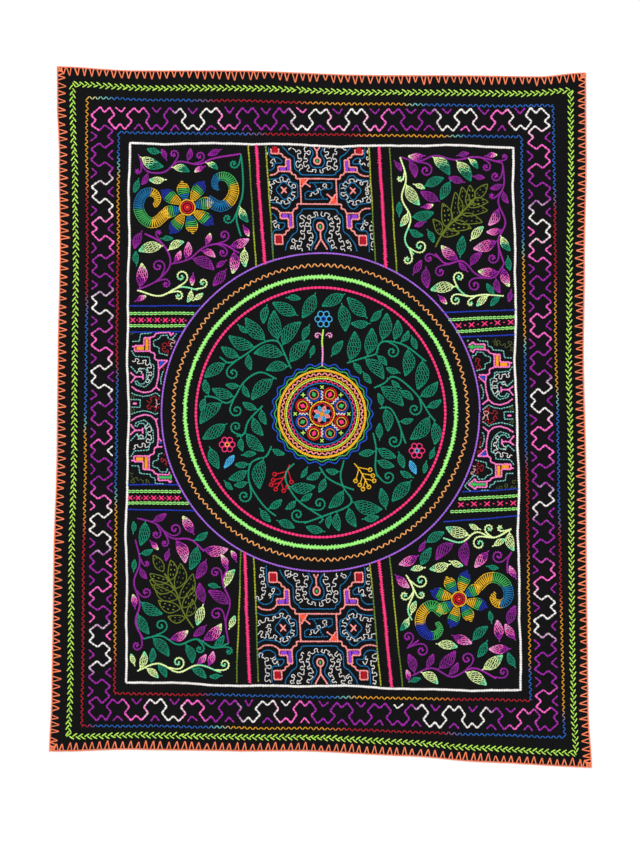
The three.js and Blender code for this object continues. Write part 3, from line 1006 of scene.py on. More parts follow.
SALMON_YARN = 2.3
OUTLINE_YARN = 1.6
QUARTER_SALMON = [
    [(0, 15.6), (30.2, 15.6), (30.2, 20.8), (34.5, 21.2), (37, 25.5), (37, 42), (43.2, 42), (43.2, 32),
     (53.9, 32), (53.9, 25.5), (37, 25.5)],
    [(41, 42), (43, 45.2), (46.8, 45.5), (47.2, 49.2), (51.8, 50.2)],
    [(53.9, 25.5), (57, 22.3), (61, 20.5), (66, 19.8), (74, 20.4), (80, 24), (88, 29)],
    [(24.5, 0), (24.5, 15.6)],
    [(0, 45), (0, 54), (8.5, 66)],
]
QUARTER_BLUE = [
    [(0, 20.9), (22, 21.2), (24.5, 24.5), (30, 28), (31.5, 33), (31.5, 45), (38, 49.8), (42, 54.5),
     (46.5, 60), (49, 68)],
    [(65.6, 68), (65.6, 52), (62.5, 45), (54.5, 44.6), (48.6, 40.6), (49.6, 36.8), (58, 36.6), (59.5, 30.5),
     (65, 26.5), (74, 26.8), (86, 36)],
    [(88, 22), (80, 16.5), (72, 13.8), (63.5, 14.4), (54, 15.8), (48.6, 20.5), (42.5, 19.5), (39, 14.6),
     (36.6, 10.4), (29.5, 8.4), (28.6, 0)],
    [(4.5, 31.2), (8.6, 34.5), (9.8, 40), (8.2, 45), (5.6, 49), (5.8, 54), (12, 62), (14, 68)],
    [(-4.5, 31.2), (4.5, 31.2)],
]
QUARTER_MEANDERS = [
    [(19, 66), (15, 59), (12.5, 52), (16, 44), (16, 36), (12, 29), (0, 25.6)],
    [(29, 68), (29.5, 60), (25, 52), (23.5, 43), (26, 35), (20, 27)],
    [(38, 67), (38.5, 60), (34, 54)],
    [(64, 33.5), (58.5, 41), (54, 41)],
    [(84, 33), (74, 33), (70, 44), (72, 58), (70, 68)],
    [(82, 4), (72, 9), (62, 9.5), (53, 13.5), (44, 13.5), (36, 7.5), (33.5, 0)],
    [(70, 2), (62, 3.5)],
]
SQUARE_MIDDLE = (57.4, 55.3)
SQUARE_HALF = 5.2
SQUARE = SQUARE_HALF * np.array([(-1, -1), (1, -1), (1, 1), (-1, 1), (-1, -1)])
QUARTER_VIOLET = [[(38, 27), (42.4, 27), (42.4, 41), (38, 41)], [(42.4, 27), (53, 27), (53, 31), (42.4, 31)]]
HEAD_MIDDLE = (0.0, 40.5)
MARK_X = 47.0
MARK_ARM = 4.3
CENTRE_BLUE = [(-12, 9.8), (6, 10.4), (18.5, 10.4), (19, 4), (14.5, 1.2), (8, 2.2), (2.5, 0), (2.6, -4.6),
               (6.5, -9.6)]
CORAL_CORNER = [(-23.8, 14.8), (-13.8, 14.8), (-23, 4.2)]
CORAL_STEM = [(-18, 9.2), (-10.6, 4.2)]
CENTRE_MEANDER = [(-13, -5), (-7, -4.5), (0, 0), (7, 5), (14, 6)]


def make_panel(name, centre, slant, scale, room, seed):
    """One upright panel: the quarter chart mirrored both ways, and the middle turned about."""
    yarn = Yarn(name, seed)
    across, upper, lower = scale

    def put(rows, flip_x=1, flip_y=1):
        rows = np.asarray(rows, float) * [flip_x, flip_y]
        x, y = rows[:, 0] * across, rows[:, 1] * np.where(rows[:, 1] > 0, upper, lower)
        return np.column_stack([centre[0] + x + slant[0] * y, centre[1] + y + slant[1] * x])

    def salmon(points, pitch=3.4):
        outline(yarn, points, SALMON_YARN, "salmon", room, pitch)

    def blue(points, pitch=3.4, gap=0.26):
        outline(yarn, points, OUTLINE_YARN, "sea_blue", room, pitch, gap)

    for flip_y in (1, -1):
        for flip in ((1, flip_y), (-1, flip_y)):
            for rows in QUARTER_SALMON:
                salmon(put(rows, *flip))
            for rows in QUARTER_BLUE:
                blue(put(curved(rows, 2.0) if len(rows) > 5 else rows, *flip))
            for rows in QUARTER_MEANDERS:
                meander(yarn, put(rows, *flip), "white", room)
            filled(yarn, put(SQUARE[:-1] * 0.8 + SQUARE_MIDDLE, *flip), "dark_red", room)
            salmon(put(SQUARE + SQUARE_MIDDLE, *flip))
            for rows in QUARTER_VIOLET:
                filled(yarn, put(rows, *flip), "violet", room)
        salmon(put(round_line(HEAD_MIDDLE, 4.4), 1, flip_y), pitch=2.0)
        filled(yarn, put(round_line(HEAD_MIDDLE, 2.1, count=9)[:-1], 1, flip_y), "leaf_green", room)
    for hand in (1, -1):
        mark = np.array([MARK_X * hand, 0.0])
        for slope in (1, -1):
            arm = np.array([MARK_ARM, MARK_ARM * slope])
            salmon(put([mark - arm, mark + arm]), pitch=9)
        blue(put(round_line(mark, 9.6, lobes=4, depth=1.3)), 2.6, 0.16)
        blue(put(CENTRE_BLUE, hand, hand))
        filled(yarn, put(CORAL_CORNER, hand, hand), "coral_red", room, slope=0.8)
        salmon(put(CORAL_CORNER[1:], hand, hand))
        salmon(put(CORAL_STEM, hand, hand))
    meander(yarn, put(CENTRE_MEANDER), "white", room)
    return yarn.build()


HALF_ORCHID = [
    [(49.7, 10.6), (36.9, 21.3), (30.5, 15.8), (22, 14.2), (12, 17), (2.1, 24.1), (9.9, 34.6), (0.7, 41.1)],
    [(9.9, 34.6), (19.9, 34.4)],
    [(19.9, 38), (19.9, 30.8)],
    [(36.9, 21.3), (39.6, 32.6), (40.4, 42.6), (51.8, 51.8), (39, 51.8), (40.4, 42.6)],
    [(39, 51.8), (34.9, 53.2), (34.9, 58.8), (28.4, 61), (28.4, 79.5), (20.8, 79.5), (20.8, 68), (8.6, 68),
     (8.6, 61.4), (28.4, 61.4)],
    [(8.6, 66.5), (0.7, 66.7)],
    [(27.6, 79.5), (34.7, 81.6), (35.4, 85), (41, 86.6), (54.6, 87.3), (55.3, 82.3), (64.6, 90.8),
     (55.3, 98.6), (54.6, 95.1), (40.4, 95.1), (40.4, 86.6)],
]
HALF_TEAL = [
    [(49.7, 3.5), (36.9, 14.0), (29, 10.6), (20.6, 9.2), (10, 11.5), (0.7, 15.6)],
    [(4.5, 62), (9.2, 56), (27.6, 55.3), (29.1, 48.2), (34, 46.8), (33.3, 35.4), (29, 27), (22, 21.3),
     (12, 24.1), (9.2, 27.7), (12, 29.8), (14.9, 25.5), (20.6, 25.5), (24.1, 29.8), (24.8, 41.1), (22, 43.3),
     (14.9, 42.6), (12, 38.3), (0.7, 48.2)],
    [(55.5, 44), (46.1, 40.4), (42.9, 32.6), (43.6, 24.1), (49.7, 19.2)],
    [(49.7, 103), (47.5, 100), (36.9, 100), (36.2, 92.2), (30.5, 90.1), (30.5, 86.6), (16.3, 85.1),
     (14.9, 74.5), (1, 73.8)],
    [(61.7, 101.5), (69.5, 93.6), (57.5, 77.3), (52.5, 78), (51.8, 83), (43.3, 83), (40.4, 78), (33.3, 75.2),
     (33.3, 68.1), (40.4, 65.3), (40.4, 59.6), (56, 56)],
]
HALF_MEANDERS = [
    ("dark_crimson", [(52, 50), (49, 46), (50.5, 36), (49, 26)]),
    ("dark_crimson", [(56, 72), (50, 70), (46, 66), (50, 61), (55, 60)]),
    ("pale_pink", [(60, 78), (58, 70), (57, 62)]),
    ("moss", [(27, 95), (20, 98), (14, 92), (8, 97), (4, 90), (6, 82)]),
    ("moss", [(24, 100), (30, 96)]),
    ("white", [(7, 53), (16, 50), (25, 50), (28.5, 42), (28, 33), (22, 26)]),
    ("white", [(16, 38), (17, 46)]),
    ("dark_crimson", [(44, 5), (38, 8), (30, 5), (24, 0)]),
    ("moss", [(10, 7), (3, 10)]),
    ("pale_pink", [(46, 0), (40, 3), (34, 1)]),
]
HALF_FILLS = [
    ("amber", 0, [(27.2, 62.6), (22, 62.6), (22, 78.3), (27.2, 78.3)]),
    ("amber", 0, [(22, 62.6), (9.8, 62.6), (9.8, 66.8), (22, 66.8)]),
    ("royal_blue", 0, [(41.3, 45.4), (50, 51), (40.2, 51)]),
    ("leaf_green", 1.57, [(56.2, 85), (62.6, 90.8), (56.2, 96.2)]),
    ("leaf_green", 1.57, [(41.8, 88.4), (56.2, 88.8), (56.2, 93.6), (41.8, 93.4)]),
]
MIDDLE_BAR = [(12.0, 0), (0.7, 0)]
MIDDLE_FRAME = [(0.7, 5.2), (16.3, 5.2), (16.3, -4.6), (0.7, -4.6)]
# The side panels' outer parts are drawn out: where a height on the chart lies on the cloth.
CHART_HEIGHTS = [0, 35, 49, 65, 91, 110]
CLOTH_HEIGHTS = {"panel_left": [0, 35.4, 53, 73, 96.5, 114], "panel_right": [0, 34.5, 50, 67.5, 90, 106]}


def make_side_panel(name, frame_x, hand, middle, tilt, room, seed):
    """One level panel beside the rings: the half chart mirrored up and down, measured in from the frame."""
    yarn = Yarn(name, seed)

    def put(rows, flip_y=1):
        x, height = np.asarray(rows, float).T
        y = np.sign(height) * np.interp(np.abs(height), CHART_HEIGHTS, CLOTH_HEIGHTS[name]) * flip_y
        return np.column_stack([frame_x + tilt * y + hand * x, middle + y])

    for flip_y in (1, -1):
        for rows in HALF_TEAL:
            outline(yarn, put(rows, flip_y), OUTLINE_YARN, "pale_teal", room, gap=0.22)
        for rows in HALF_ORCHID:
            outline(yarn, put(rows, flip_y), SALMON_YARN, "orchid_pink", room)
        for colour, rows in HALF_MEANDERS:
            meander(yarn, put(rows, flip_y), colour, room)
        for colour, slope, rows in HALF_FILLS:
            filled(yarn, put(rows, flip_y), colour, room, slope)
    outline(yarn, put(MIDDLE_BAR), SALMON_YARN * 1.2, "orchid_pink", room, pitch=6)
    outline(yarn, put(MIDDLE_FRAME), OUTLINE_YARN, "pale_teal", room, gap=0.22)
    return yarn.build()


CLEAR = 2.4


def between_bands(low_band, high_band):
    """Room between two bands, within the frame and outside the rings."""

    def beside(points, band):
        start, end = np.array(band[0]), np.array(band[1])
        return (points - start) @ -left_of(unit(end - start))

    def room(points):
        keep = np.linalg.norm(points - RING_CENTRE, axis=1) > OUTER_RING_RADIUS + CLEAR
        for side in EDGES:
            keep &= (points - ends_of("frame", side)[0]) @ inward_of("frame", side) > CLEAR
        return keep & (beside(points, low_band) * beside(points, high_band) < 0)

    return room


# An upright panel's middle, slant and scale across, up and down, and the bands beside it.
PANELS = {
    "panel_top": ((-2.5, 296.7), (-0.045, -0.01), (0.957, 0.94, 1.18), VERTICAL_BANDS[2:4]),
    "panel_bottom": ((-2.6, -276.0), (-0.05, 0.0), (0.98, 1.2, 1.11), VERTICAL_BANDS[8:10]),
}
# A level panel's edge on the frame, the way in from it, its middle height and tilt, and the bands beside it.
SIDE_PANELS = {
    "panel_left": (-252.0, 1, 17.5, 0.006, HORIZONTAL_BANDS[4:6]),
    "panel_right": (256.5, -1, 1.8, -0.014, HORIZONTAL_BANDS[14:16]),
}


def make_panels(seed):
    for index, (name, (*shape, bands)) in enumerate(PANELS.items()):
        make_panel(name, *shape, between_bands(*bands), seed + index)
    for index, (name, (*shape, bands)) in enumerate(SIDE_PANELS.items()):
        make_side_panel(name, *shape, between_bands(*bands), seed + len(PANELS) + index)


# Leaves, vines and flowers. A plan of millimetre squares keeps each new one off those already placed.
PLAN_HALF = (275, 375)


class Plan:
    def __init__(self, allowed, seed):
        x, y = np.meshgrid(*[np.arange(-half, half + 1) for half in PLAN_HALF], indexing="ij")
        places = np.stack([x.ravel(), y.ravel()], axis=1).astype(float)
        self.taken = ~allowed(places).reshape(x.shape)
        self.random = np.random.default_rng(seed)

    def look_up(self, points):
        at = np.clip(np.round(points).astype(int) + PLAN_HALF, 0, np.array(self.taken.shape) - 1)
        return at[:, 0], at[:, 1]

    def free(self, points):
        return not self.taken[self.look_up(points)].any()

    def take(self, points, clear=1.0):
        for dx in (-clear, 0, clear):
            for dy in (-clear, 0, clear):
                self.taken[self.look_up(points + (dx, dy))] = True

    def take_discs(self, centre, radii, count=60):
        for radius in radii:
            self.take(round_line(centre, radius, count=count))

    def until_taken(self, line):
        """The first part of a line, up to the place where something else stands."""
        blocked = np.flatnonzero(self.taken[self.look_up(line)])
        blocked = blocked[blocked > 12]
        return line[: blocked[0] - 3] if len(blocked) and blocked[0] > 20 else line


def leaf_half(share):
    return np.sin(np.pi * np.clip(share, 0, 1) ** 0.85) ** 0.9


def leaf_frame(base, tip):
    axis = np.asarray(tip, float) - base
    length = np.linalg.norm(axis)
    return axis, length, left_of(axis) / length


def leaf_cover(base, tip, width):
    """Points about a millimetre apart over a leaf."""
    axis, length, side = leaf_frame(base, tip)
    share = np.linspace(0.04, 1, max(6, int(length / 1.4)))
    across = np.linspace(-1, 1, max(5, int(width)))
    half = (leaf_half(share) * width / 2 + 0.3)[:, None] * across
    return (base + share[:, None, None] * axis + half[..., None] * side).reshape(-1, 2)


def thick_cover(line, width):
    """Points about a millimetre apart over a line of the given width."""
    points = resample(line, 1.5)
    across = normals(points)
    return np.concatenate([points + across * off for off in np.arange(-width / 2, width / 2 + 0.6, 1.0)])


LEAF_YARN = 1.15
LEAF_STITCH = 3.4
NET_STITCHES = 4
NET_SLOPE = 0.16
VINE_YARN = 2.6
VINE_STITCH = 3.5
STALK_YARN = 1.7
STALK_LENGTH = 3.2
LOOSE_STALK_LENGTH = 3.5
# A leaf's width as a share of its length.
LEAF_WIDTH = 0.44


def stitch_leaf(yarn, base, tip, width, colours, pitch=2.5, bend=0.0):
    """A pointed oval: an outline filled with wavy rows that touch in turn and leave dark lenses between."""
    axis, length, side = leaf_frame(base, tip)

    def spot(share, across):
        off = across * (leaf_half(share) * width / 2) + bend * length * (share * (1 - share))
        return base + share[:, None] * axis + off[:, None] * side

    rows = max(4, round(length * 0.86 / pitch))
    stops = np.linspace(-0.9, 0.9, NET_STITCHES + 1)
    at = np.linspace(0.07, 0.93, rows)
    wave = 0.5 / rows * np.where((np.arange(rows)[:, None] + np.arange(len(stops))) % 2, 1, -1)
    along = np.clip(at[:, None] + NET_SLOPE * stops * leaf_half(at)[:, None] + wave, 0.02, 0.98)
    spots = spot(along.ravel(), np.tile(stops, rows)).reshape(rows, -1, 2)
    shades = np.repeat(dyed(colours, at), NET_STITCHES, axis=0)
    starts, ends = spots[:, :-1].reshape(-1, 2), spots[:, 1:].reshape(-1, 2)
    yarn.straight(starts, ends, LEAF_YARN, shades, unevenness=0.1)
    share = np.linspace(0, 1, max(6, round(length / LEAF_STITCH)))
    for hand in (-1, 1):
        back_stitch(yarn, spot(share, hand), LEAF_YARN, dyed(colours, (share[1:] + share[:-1]) / 2), LAP)


def stitch_vine(yarn, line, runs, width=VINE_YARN):
    points = resample(line, VINE_STITCH)
    shares = np.linspace(0, 1, len(points) - 1) if len(points) > 2 else [0.5]
    stem_stitch(yarn, points, width, dyed(runs, shares))


def hoop(yarn, centre, radius, colour, width, count):
    back_stitch(yarn, round_line(centre, radius, count=count), width, linear(colour), LAP)


LEAF_RUNS = {
    "purple": [("plum", 0.5), ("purple", 1.0)],
    "teal": [("teal_green", 1.0)],
    "cream": [("cream_green", 0.75), ("mint", 1.0)],
    "sunrise": [("purple", 0.35), ("pink", 0.6), ("light_pink", 0.8), ("cream_green", 1.0)],
    "sunset": [("cream_green", 0.35), ("mint", 0.55), ("teal_green", 1.0)],
    "pink": [("purple", 0.3), ("pink", 0.65), ("light_pink", 1.0)],
}
LEAF_LENGTHS = (31, 28, 25, 22, 19, 16)
LEAF_ANGLES = (0.85, 0.6, 1.1, 0.35, 1.35, 1.6)
LEAF_BENDS = (0.15, 0.45)
FILL_LENGTHS = (26, 23, 20, 17, 14)
FILL_BENDS = (-0.25, 0.25)
FILL_CLEAR = 1.2
COIL_GAP = 3.6
COIL_TURNS = 1.6
COIL_YARN = 2.3


def place_leaf(yarn, plan, foot, base, way, length, choices, pitch, bends, hand=1, clear=1.0):
    """Stitches a leaf and its stalk where there is room for the leaf, and says whether there was."""
    tip, width = base + way * length, length * LEAF_WIDTH
    cover = leaf_cover(base, tip, width)
    if not plan.free(cover):
        return False
    plan.take(cover, clear)
    colours = LEAF_RUNS[choices[int(plan.random.integers(len(choices)))]]
    stitch_leaf(yarn, base, tip, width, colours, pitch, hand * plan.random.uniform(*bends))
    stitch_vine(yarn, np.array([foot, base]), plain(colours[0][0]), STALK_YARN)
    return True


def grow_leaves(yarn, plan, line, choices, spacing=14, lengths=LEAF_LENGTHS, pitch=2.5):
    """Leaves to both sides of a vine in turn, each as long as its place allows."""
    points = resample(line, 2.0)
    ways = unit(np.gradient(points, axis=0))
    hand = 1
    for index in range(2, len(points) - 1, max(1, round(spacing / 4))):
        for length, angle in [(length, angle) for length in lengths for angle in LEAF_ANGLES]:
            way = turned(ways[index], hand * (angle + plan.random.normal(0, 0.05)))
            base = points[index] + way * STALK_LENGTH
            if place_leaf(yarn, plan, points[index], base, way, length, choices, pitch, LEAF_BENDS, -hand):
                break
        hand = -hand


def curl(yarn, plan, line, runs, radii):
    """A spiral tendril that leaves a vine, where one fits."""
    points = resample(line, 4.0)
    for index in plan.random.permutation(np.arange(1, len(points))):
        way = unit(points[min(index + 1, len(points) - 1)] - points[index - 1])
        for hand in plan.random.permutation([1, -1]):
            side = hand * left_of(way)
            for radius in radii:
                centre = points[index] + side * (radius + COIL_GAP) + way * 4
                rounds = [round_line(centre, r, count=30) for r in np.arange(1, radius + 1.2, 0.9)]
                disc = np.concatenate(rounds)
                if plan.free(disc):
                    plan.take(disc)
                    coil = spiral(centre, radius, math.atan2(-side[1], -side[0]), COIL_TURNS, hand)
                    start = points[max(index - 1, 0)] - way * 1.5
                    stitch_vine(yarn, curved(np.concatenate([[start], coil[1::2]])), runs, COIL_YARN)
                    return


def fill_gaps(yarn, plan, low, high, choices, tries, lengths=FILL_LENGTHS, pitch=2.5):
    """Loose leaves with a short stalk in the room that is left."""
    for length in lengths:
        for _ in range(tries // len(lengths)):
            base = np.array([plan.random.uniform(low[0], high[0]), plan.random.uniform(low[1], high[1])])
            way = direction(plan.random.uniform(0, TAU))
            tip, foot = base + way * length, base - way * LOOSE_STALK_LENGTH
            if plan.free(np.array([base, tip, foot, (base + tip) / 2])):
                place_leaf(yarn, plan, foot, base, way, length, choices, pitch, FILL_BENDS, clear=FILL_CLEAR)


RING_ROOM = 213.5
CORNERS = {
    "top_left": [(-245, 353), (-98.5, 350), (-90, 195), (-150, 149.5), (-245, 149.5)],
    "top_right": [(246.5, 348), (94.5, 348), (103, 195), (150, 141.5), (251.5, 144.5)],
    "bottom_left": [(-249.5, -342.5), (-113.5, -343), (-108, -180), (-155, -126), (-248.5, -124.5)],
    "bottom_right": [(257, -353), (111, -348.5), (94.5, -185), (155, -141), (256, -133.5)],
}


def corner_room(name):
    """Room in one corner: inside its polygon and outside the rings."""
    polygon = np.array(CORNERS[name], float)

    def allowed(points):
        x, y = points.T
        inside = np.zeros(len(points), bool)
        for a, b in zip(polygon, np.roll(polygon, -1, axis=0)):
            level = a[0] + (y - a[1]) / (b[1] - a[1] + 1e-9) * (b[0] - a[0])
            inside ^= ((a[1] > y) != (b[1] > y)) & (x < level)
        return inside & (np.linalg.norm(points - RING_CENTRE, axis=1) > RING_ROOM)

    return allowed


def satin_band(yarn, line, widths, runs):
    """Satin stitches side by side across a curved band whose width changes along it."""
    points = resample(line, 2.5)
    share = np.linspace(0, 1, len(points))
    half = np.interp(share, np.linspace(0, 1, len(widths)), widths)[:, None] / 2 * normals(points)
    lean = np.gradient(points, axis=0) * 0.35
    yarn.straight(points - half - lean, points + half + lean, 1.5, dyed(runs, share), 0.25, 0.06)
    for hand in (-1, 1):
        edge = resample((points + hand * half)[::2], LEAF_STITCH)
        back_stitch(yarn, edge, 1.2, dyed(runs, np.linspace(0, 1, len(edge) - 1)), overlap=0.1)


PETAL_RUNS = [[("sea_blue", 0.3), ("leaf_green", 0.62), ("golden", 1.0)],
              [("golden", 0.4), ("leaf_green", 0.7), ("deep_blue", 1.0)]]
PETALS = 8
PETAL_WIDTHS = np.array([0.14, 0.3, 0.4, 0.37, 0.1])
SHORT_PETAL = 0.86
EYE_SIZE = 0.25
EYE_HOOPS = ((1.0, "golden"), (0.72, "berry_red"), (0.4, "berry_red"), (0.12, "coral_red"))
SCROLL_WIDTHS = [13, 13, 13, 12, 10, 5]
SCROLL_RUNS = [
    [("golden", 0.24), ("leaf_green", 0.48), ("sea_blue", 0.78), ("golden", 1.0)],
    [("sea_blue", 0.3), ("golden", 0.56), ("leaf_green", 0.8), ("sea_blue", 1.0)],
    [("leaf_green", 0.26), ("golden", 0.5), ("deep_blue", 0.76), ("leaf_green", 1.0)],
]


def big_flower(yarn, plan, centre, size, turn, scrolls):
    """A wide open flower: two satin scrolls, and eight satin petals round a red eye with a golden rim."""
    for line, runs in scrolls:
        line = curved(line)
        satin_band(yarn, line, SCROLL_WIDTHS, SCROLL_RUNS[runs])
        plan.take(thick_cover(line, max(SCROLL_WIDTHS)), 1.4)
    centre = np.asarray(centre, float)
    for index in range(PETALS):
        way = direction(turn + index * TAU / PETALS)
        reach = size * (1.0 if index % 2 else SHORT_PETAL)
        belly = centre + way * reach * 0.62 + left_of(way)
        line = curved([centre + way * size * 0.3, belly, centre + way * reach])
        satin_band(yarn, line, size * PETAL_WIDTHS, PETAL_RUNS[index % 2])
    for share, colour in EYE_HOOPS:
        radius = size * EYE_SIZE * share
        hoop(yarn, centre, radius, colour, 1.9, max(7, int(radius * 2.4)))
    for radius in np.arange(1, size * 1.06, 1.0):
        plan.take(round_line(centre, radius, count=int(8 + radius * 7)))


# A spray's pairs of leaflets: share of the way along the rib, and length. The last one stands alone.
LEAFLETS = ((0.2, 0.62), (0.36, 0.86), (0.52, 1.0), (0.68, 0.94), (0.84, 0.74), (1.0, 0.7))


def plume(yarn, plan, rib, size, hand):
    """A great curved spray of broad leaflets, in olive outline with rows of short dashes in them."""
    rib = curved(rib)
    stitch_vine(yarn, rib, plain("fern"), 2.4)
    plan.take(thick_cover(rib, 4), 1.2)
    ways = unit(np.gradient(rib, axis=0))
    share = np.linspace(0, 1, 30)
    for index, (place, part) in enumerate(LEAFLETS):
        at = min(int(place * (len(rib) - 1)), len(rib) - 1)
        for side_hand in (1, -1) if place < 1 else (0,):
            way = turned(ways[at], side_hand * (0.92 - 0.08 * index))
            length = size * part
            base = rib[at] + way * 2.5
            tip = base + way * length
            axis, reach, side = leaf_frame(base, tip)
            sag = -side_hand * hand * 0.12 * reach * np.sin(np.pi * share)
            half = leaf_half(share) * min(15.0, length * 0.46) / 2
            for edge in (-1, 1):
                rim = base + share[:, None] * axis + (edge * half + sag)[:, None] * side
                back_stitch(yarn, resample(rim, 3.0), 1.6, linear("fern"), LAP)
            for row in (-0.38, 0.38):
                marks = np.arange(0.2 + 0.05 * abs(row), 0.84, 6.4 / reach)
                near = np.interp(marks, share, sag + row * half)
                spots = base + marks[:, None] * axis + near[:, None] * side
                colour = "dull_lime" if index % 3 == 1 else "fern"
                yarn.straight(spots, spots + axis / reach * 2.7, 1.15, linear(colour), unevenness=0.15)
            plan.take(leaf_cover(base, tip, min(17.0, length * 0.5)), 1.4)


def grow_vines(yarn, plan, lines, clear, curls, late_curls, thick=2.4, curls_from=0, **leaves):
    """Vines with leaves to both sides and tendrils. Each has a line, its colours and its kinds of leaf."""
    lines = [(plan.until_taken(line), runs, choices) for line, runs, choices in lines]
    for line, runs, _ in lines:
        stitch_vine(yarn, line, runs)
        plan.take(thick_cover(line, thick), clear)
    for line, runs, _ in lines:
        for radii in curls:
            curl(yarn, plan, line[int(len(line) * curls_from) :], runs, radii)
    for line, _, choices in lines:
        grow_leaves(yarn, plan, line, choices, **leaves)
    for line, runs, _ in lines:
        curl(yarn, plan, line, runs, late_curls)


def grow_corner(name, motif, motif_args, fill_choices, seed):
    """One corner: its motif, its vines with leaves to both sides, tendrils, then leaves in the gaps."""
    plan = Plan(corner_room(name), seed)
    picture = Yarn(name + "_motif", seed + 1)
    motif(picture, plan, *motif_args)
    picture.build()
    leaves = Yarn(name + "_leaves", seed + 2)
    lines = [(curved(points), runs, choices) for points, runs, choices in CORNER_VINES[name]]
    grow_vines(leaves, plan, lines, 0.6, (WIDE_COILS, (8, 7)), (7, 6, 5))
    shape = np.array(CORNERS[name])
    fill_gaps(leaves, plan, shape.min(axis=0), shape.max(axis=0), fill_choices, 24000)
    leaves.build()


WIDE_COILS = (9.5, 8.5, 7.5)
PLUM_VINE = [("plum", 0.6), ("purple", 1.0)]
TEAL_VINE = [("teal_green", 1.0)]
PALE_VINE = [("cream_green", 0.7), ("mint", 1.0)]
FLOWER_LEFT = ((-174, 274), 40, 0.2, [
    ([(-200, 268), (-217, 254), (-231, 259), (-238, 275), (-232, 291), (-219, 294),
      (-212, 284), (-217, 276)], 0),
    ([(-148, 284), (-131, 275), (-118, 283), (-113, 299), (-121, 313), (-134, 314),
      (-139, 304), (-134, 297)], 1),
])
FLOWER_RIGHT = ((181, -238), 38, 0.5, [
    ([(160, -256), (146, -246), (134, -254), (130, -270), (138, -284), (151, -285),
      (157, -276), (152, -269)], 2),
    ([(206, -222), (218, -211), (233, -211), (244, -222), (245, -238), (234, -245),
      (225, -238), (228, -230)], 0),
])
SPRAY_RIGHT = ([(150, 222), (162, 244), (180, 262), (200, 284)], 36, 1)
SPRAY_LEFT = ([(-166, -276), (-180, -254), (-188, -230), (-204, -204)], 36, -1)
CORNER_VINES = {
    "top_left": [
        ([(-240, 166), (-214, 178), (-196, 200), (-206, 226), (-230, 240)], PLUM_VINE,
         ["purple", "cream", "sunrise"]),
        ([(-196, 200), (-172, 206), (-152, 222), (-128, 226), (-106, 214)], PLUM_VINE,
         ["purple", "pink", "sunrise"]),
        ([(-238, 344), (-228, 322), (-204, 320), (-186, 334), (-160, 330), (-140, 338), (-104, 344)],
         PLUM_VINE, ["purple", "cream", "purple", "sunset"]),
        ([(-104, 344), (-101.5, 318), (-102, 290), (-110, 262), (-104, 236)], TEAL_VINE,
         ["teal", "teal", "sunset"]),
        ([(-240, 166), (-210, 158), (-184, 170), (-160, 166)], PALE_VINE, ["cream", "cream", "sunrise"]),
    ],
    "top_right": [
        ([(104, 340), (128, 334), (150, 342), (176, 336), (204, 340), (238, 332)], PLUM_VINE,
         ["purple", "sunset", "purple"]),
        ([(104, 340), (112, 312), (106, 286), (118, 260), (110, 232), (122, 212)], PALE_VINE,
         ["cream", "teal", "cream"]),
        ([(238, 332), (240, 304), (232, 282), (242, 254), (232, 230), (240, 200)], PLUM_VINE,
         ["purple", "sunset", "pink"]),
        ([(240, 200), (226, 182), (204, 186), (186, 204), (164, 200), (150, 214)], PLUM_VINE,
         ["sunrise", "cream", "purple"]),
        ([(240, 158), (214, 160), (192, 158), (176, 172)], PALE_VINE, ["cream", "teal"]),
    ],
    "bottom_left": [
        ([(-240, -132), (-214, -140), (-196, -158), (-170, -160), (-152, -176)], PLUM_VINE,
         ["purple", "teal", "pink"]),
        ([(-242, -160), (-236, -190), (-244, -216), (-236, -244), (-242, -268), (-232, -290)], PLUM_VINE,
         ["purple", "sunset", "teal"]),
        ([(-232, -290), (-208, -286), (-186, -298), (-162, -290), (-140, -302), (-120, -296)], TEAL_VINE,
         ["teal", "sunrise", "teal"]),
        ([(-120, -296), (-124, -268), (-118, -242), (-128, -216), (-120, -196)], PLUM_VINE,
         ["purple", "cream", "sunrise"]),
        ([(-240, -332), (-212, -322), (-186, -334), (-160, -324), (-130, -334)], PALE_VINE,
         ["cream", "teal", "pink"]),
    ],
    "bottom_right": [
        ([(250, -146), (226, -158), (204, -150), (184, -164), (160, -158)], PALE_VINE,
         ["purple", "cream", "teal"]),
        ([(250, -176), (244, -196), (250, -262), (240, -284), (248, -306)], PLUM_VINE,
         ["purple", "pink", "purple"]),
        ([(112, -206), (122, -228), (114, -252), (124, -278), (114, -302)], PALE_VINE,
         ["cream", "sunset", "teal"]),
        ([(114, -302), (138, -288), (164, -296), (190, -284), (216, -294), (248, -306)], PLUM_VINE,
         ["purple", "sunrise", "sunset"]),
        ([(120, -338), (146, -328), (172, -340), (200, -328), (230, -342)], PLUM_VINE,
         ["sunrise", "cream", "purple"]),
    ],
}


def make_corners():
    kinds = ["purple", "cream", "teal", "sunrise"]
    grow_corner("top_left", big_flower, FLOWER_LEFT, kinds, 60)
    grow_corner("top_right", plume, SPRAY_RIGHT, kinds, 70)
    grow_corner("bottom_left", plume, SPRAY_LEFT, kinds, 80)
    grow_corner("bottom_right", big_flower, FLOWER_RIGHT, kinds[:3] + ["pink"], 90)


# The round picture in the middle: a rosette of bands and petals in a wreath of green leaves.
ROSETTE_MIDDLE = np.array([2.0, 4.0])
ROSETTE_ROOM = 70.0
MEDALLION_ROOM = 159.0
DISCS = 8
DISC_REACH = 27.5
MARK_REACH = 35.0


def medallion_room(points):
    in_ring = np.linalg.norm(points - RING_CENTRE, axis=1) < MEDALLION_ROOM
    return in_ring & (np.linalg.norm(points - ROSETTE_MIDDLE, axis=1) > ROSETTE_ROOM)


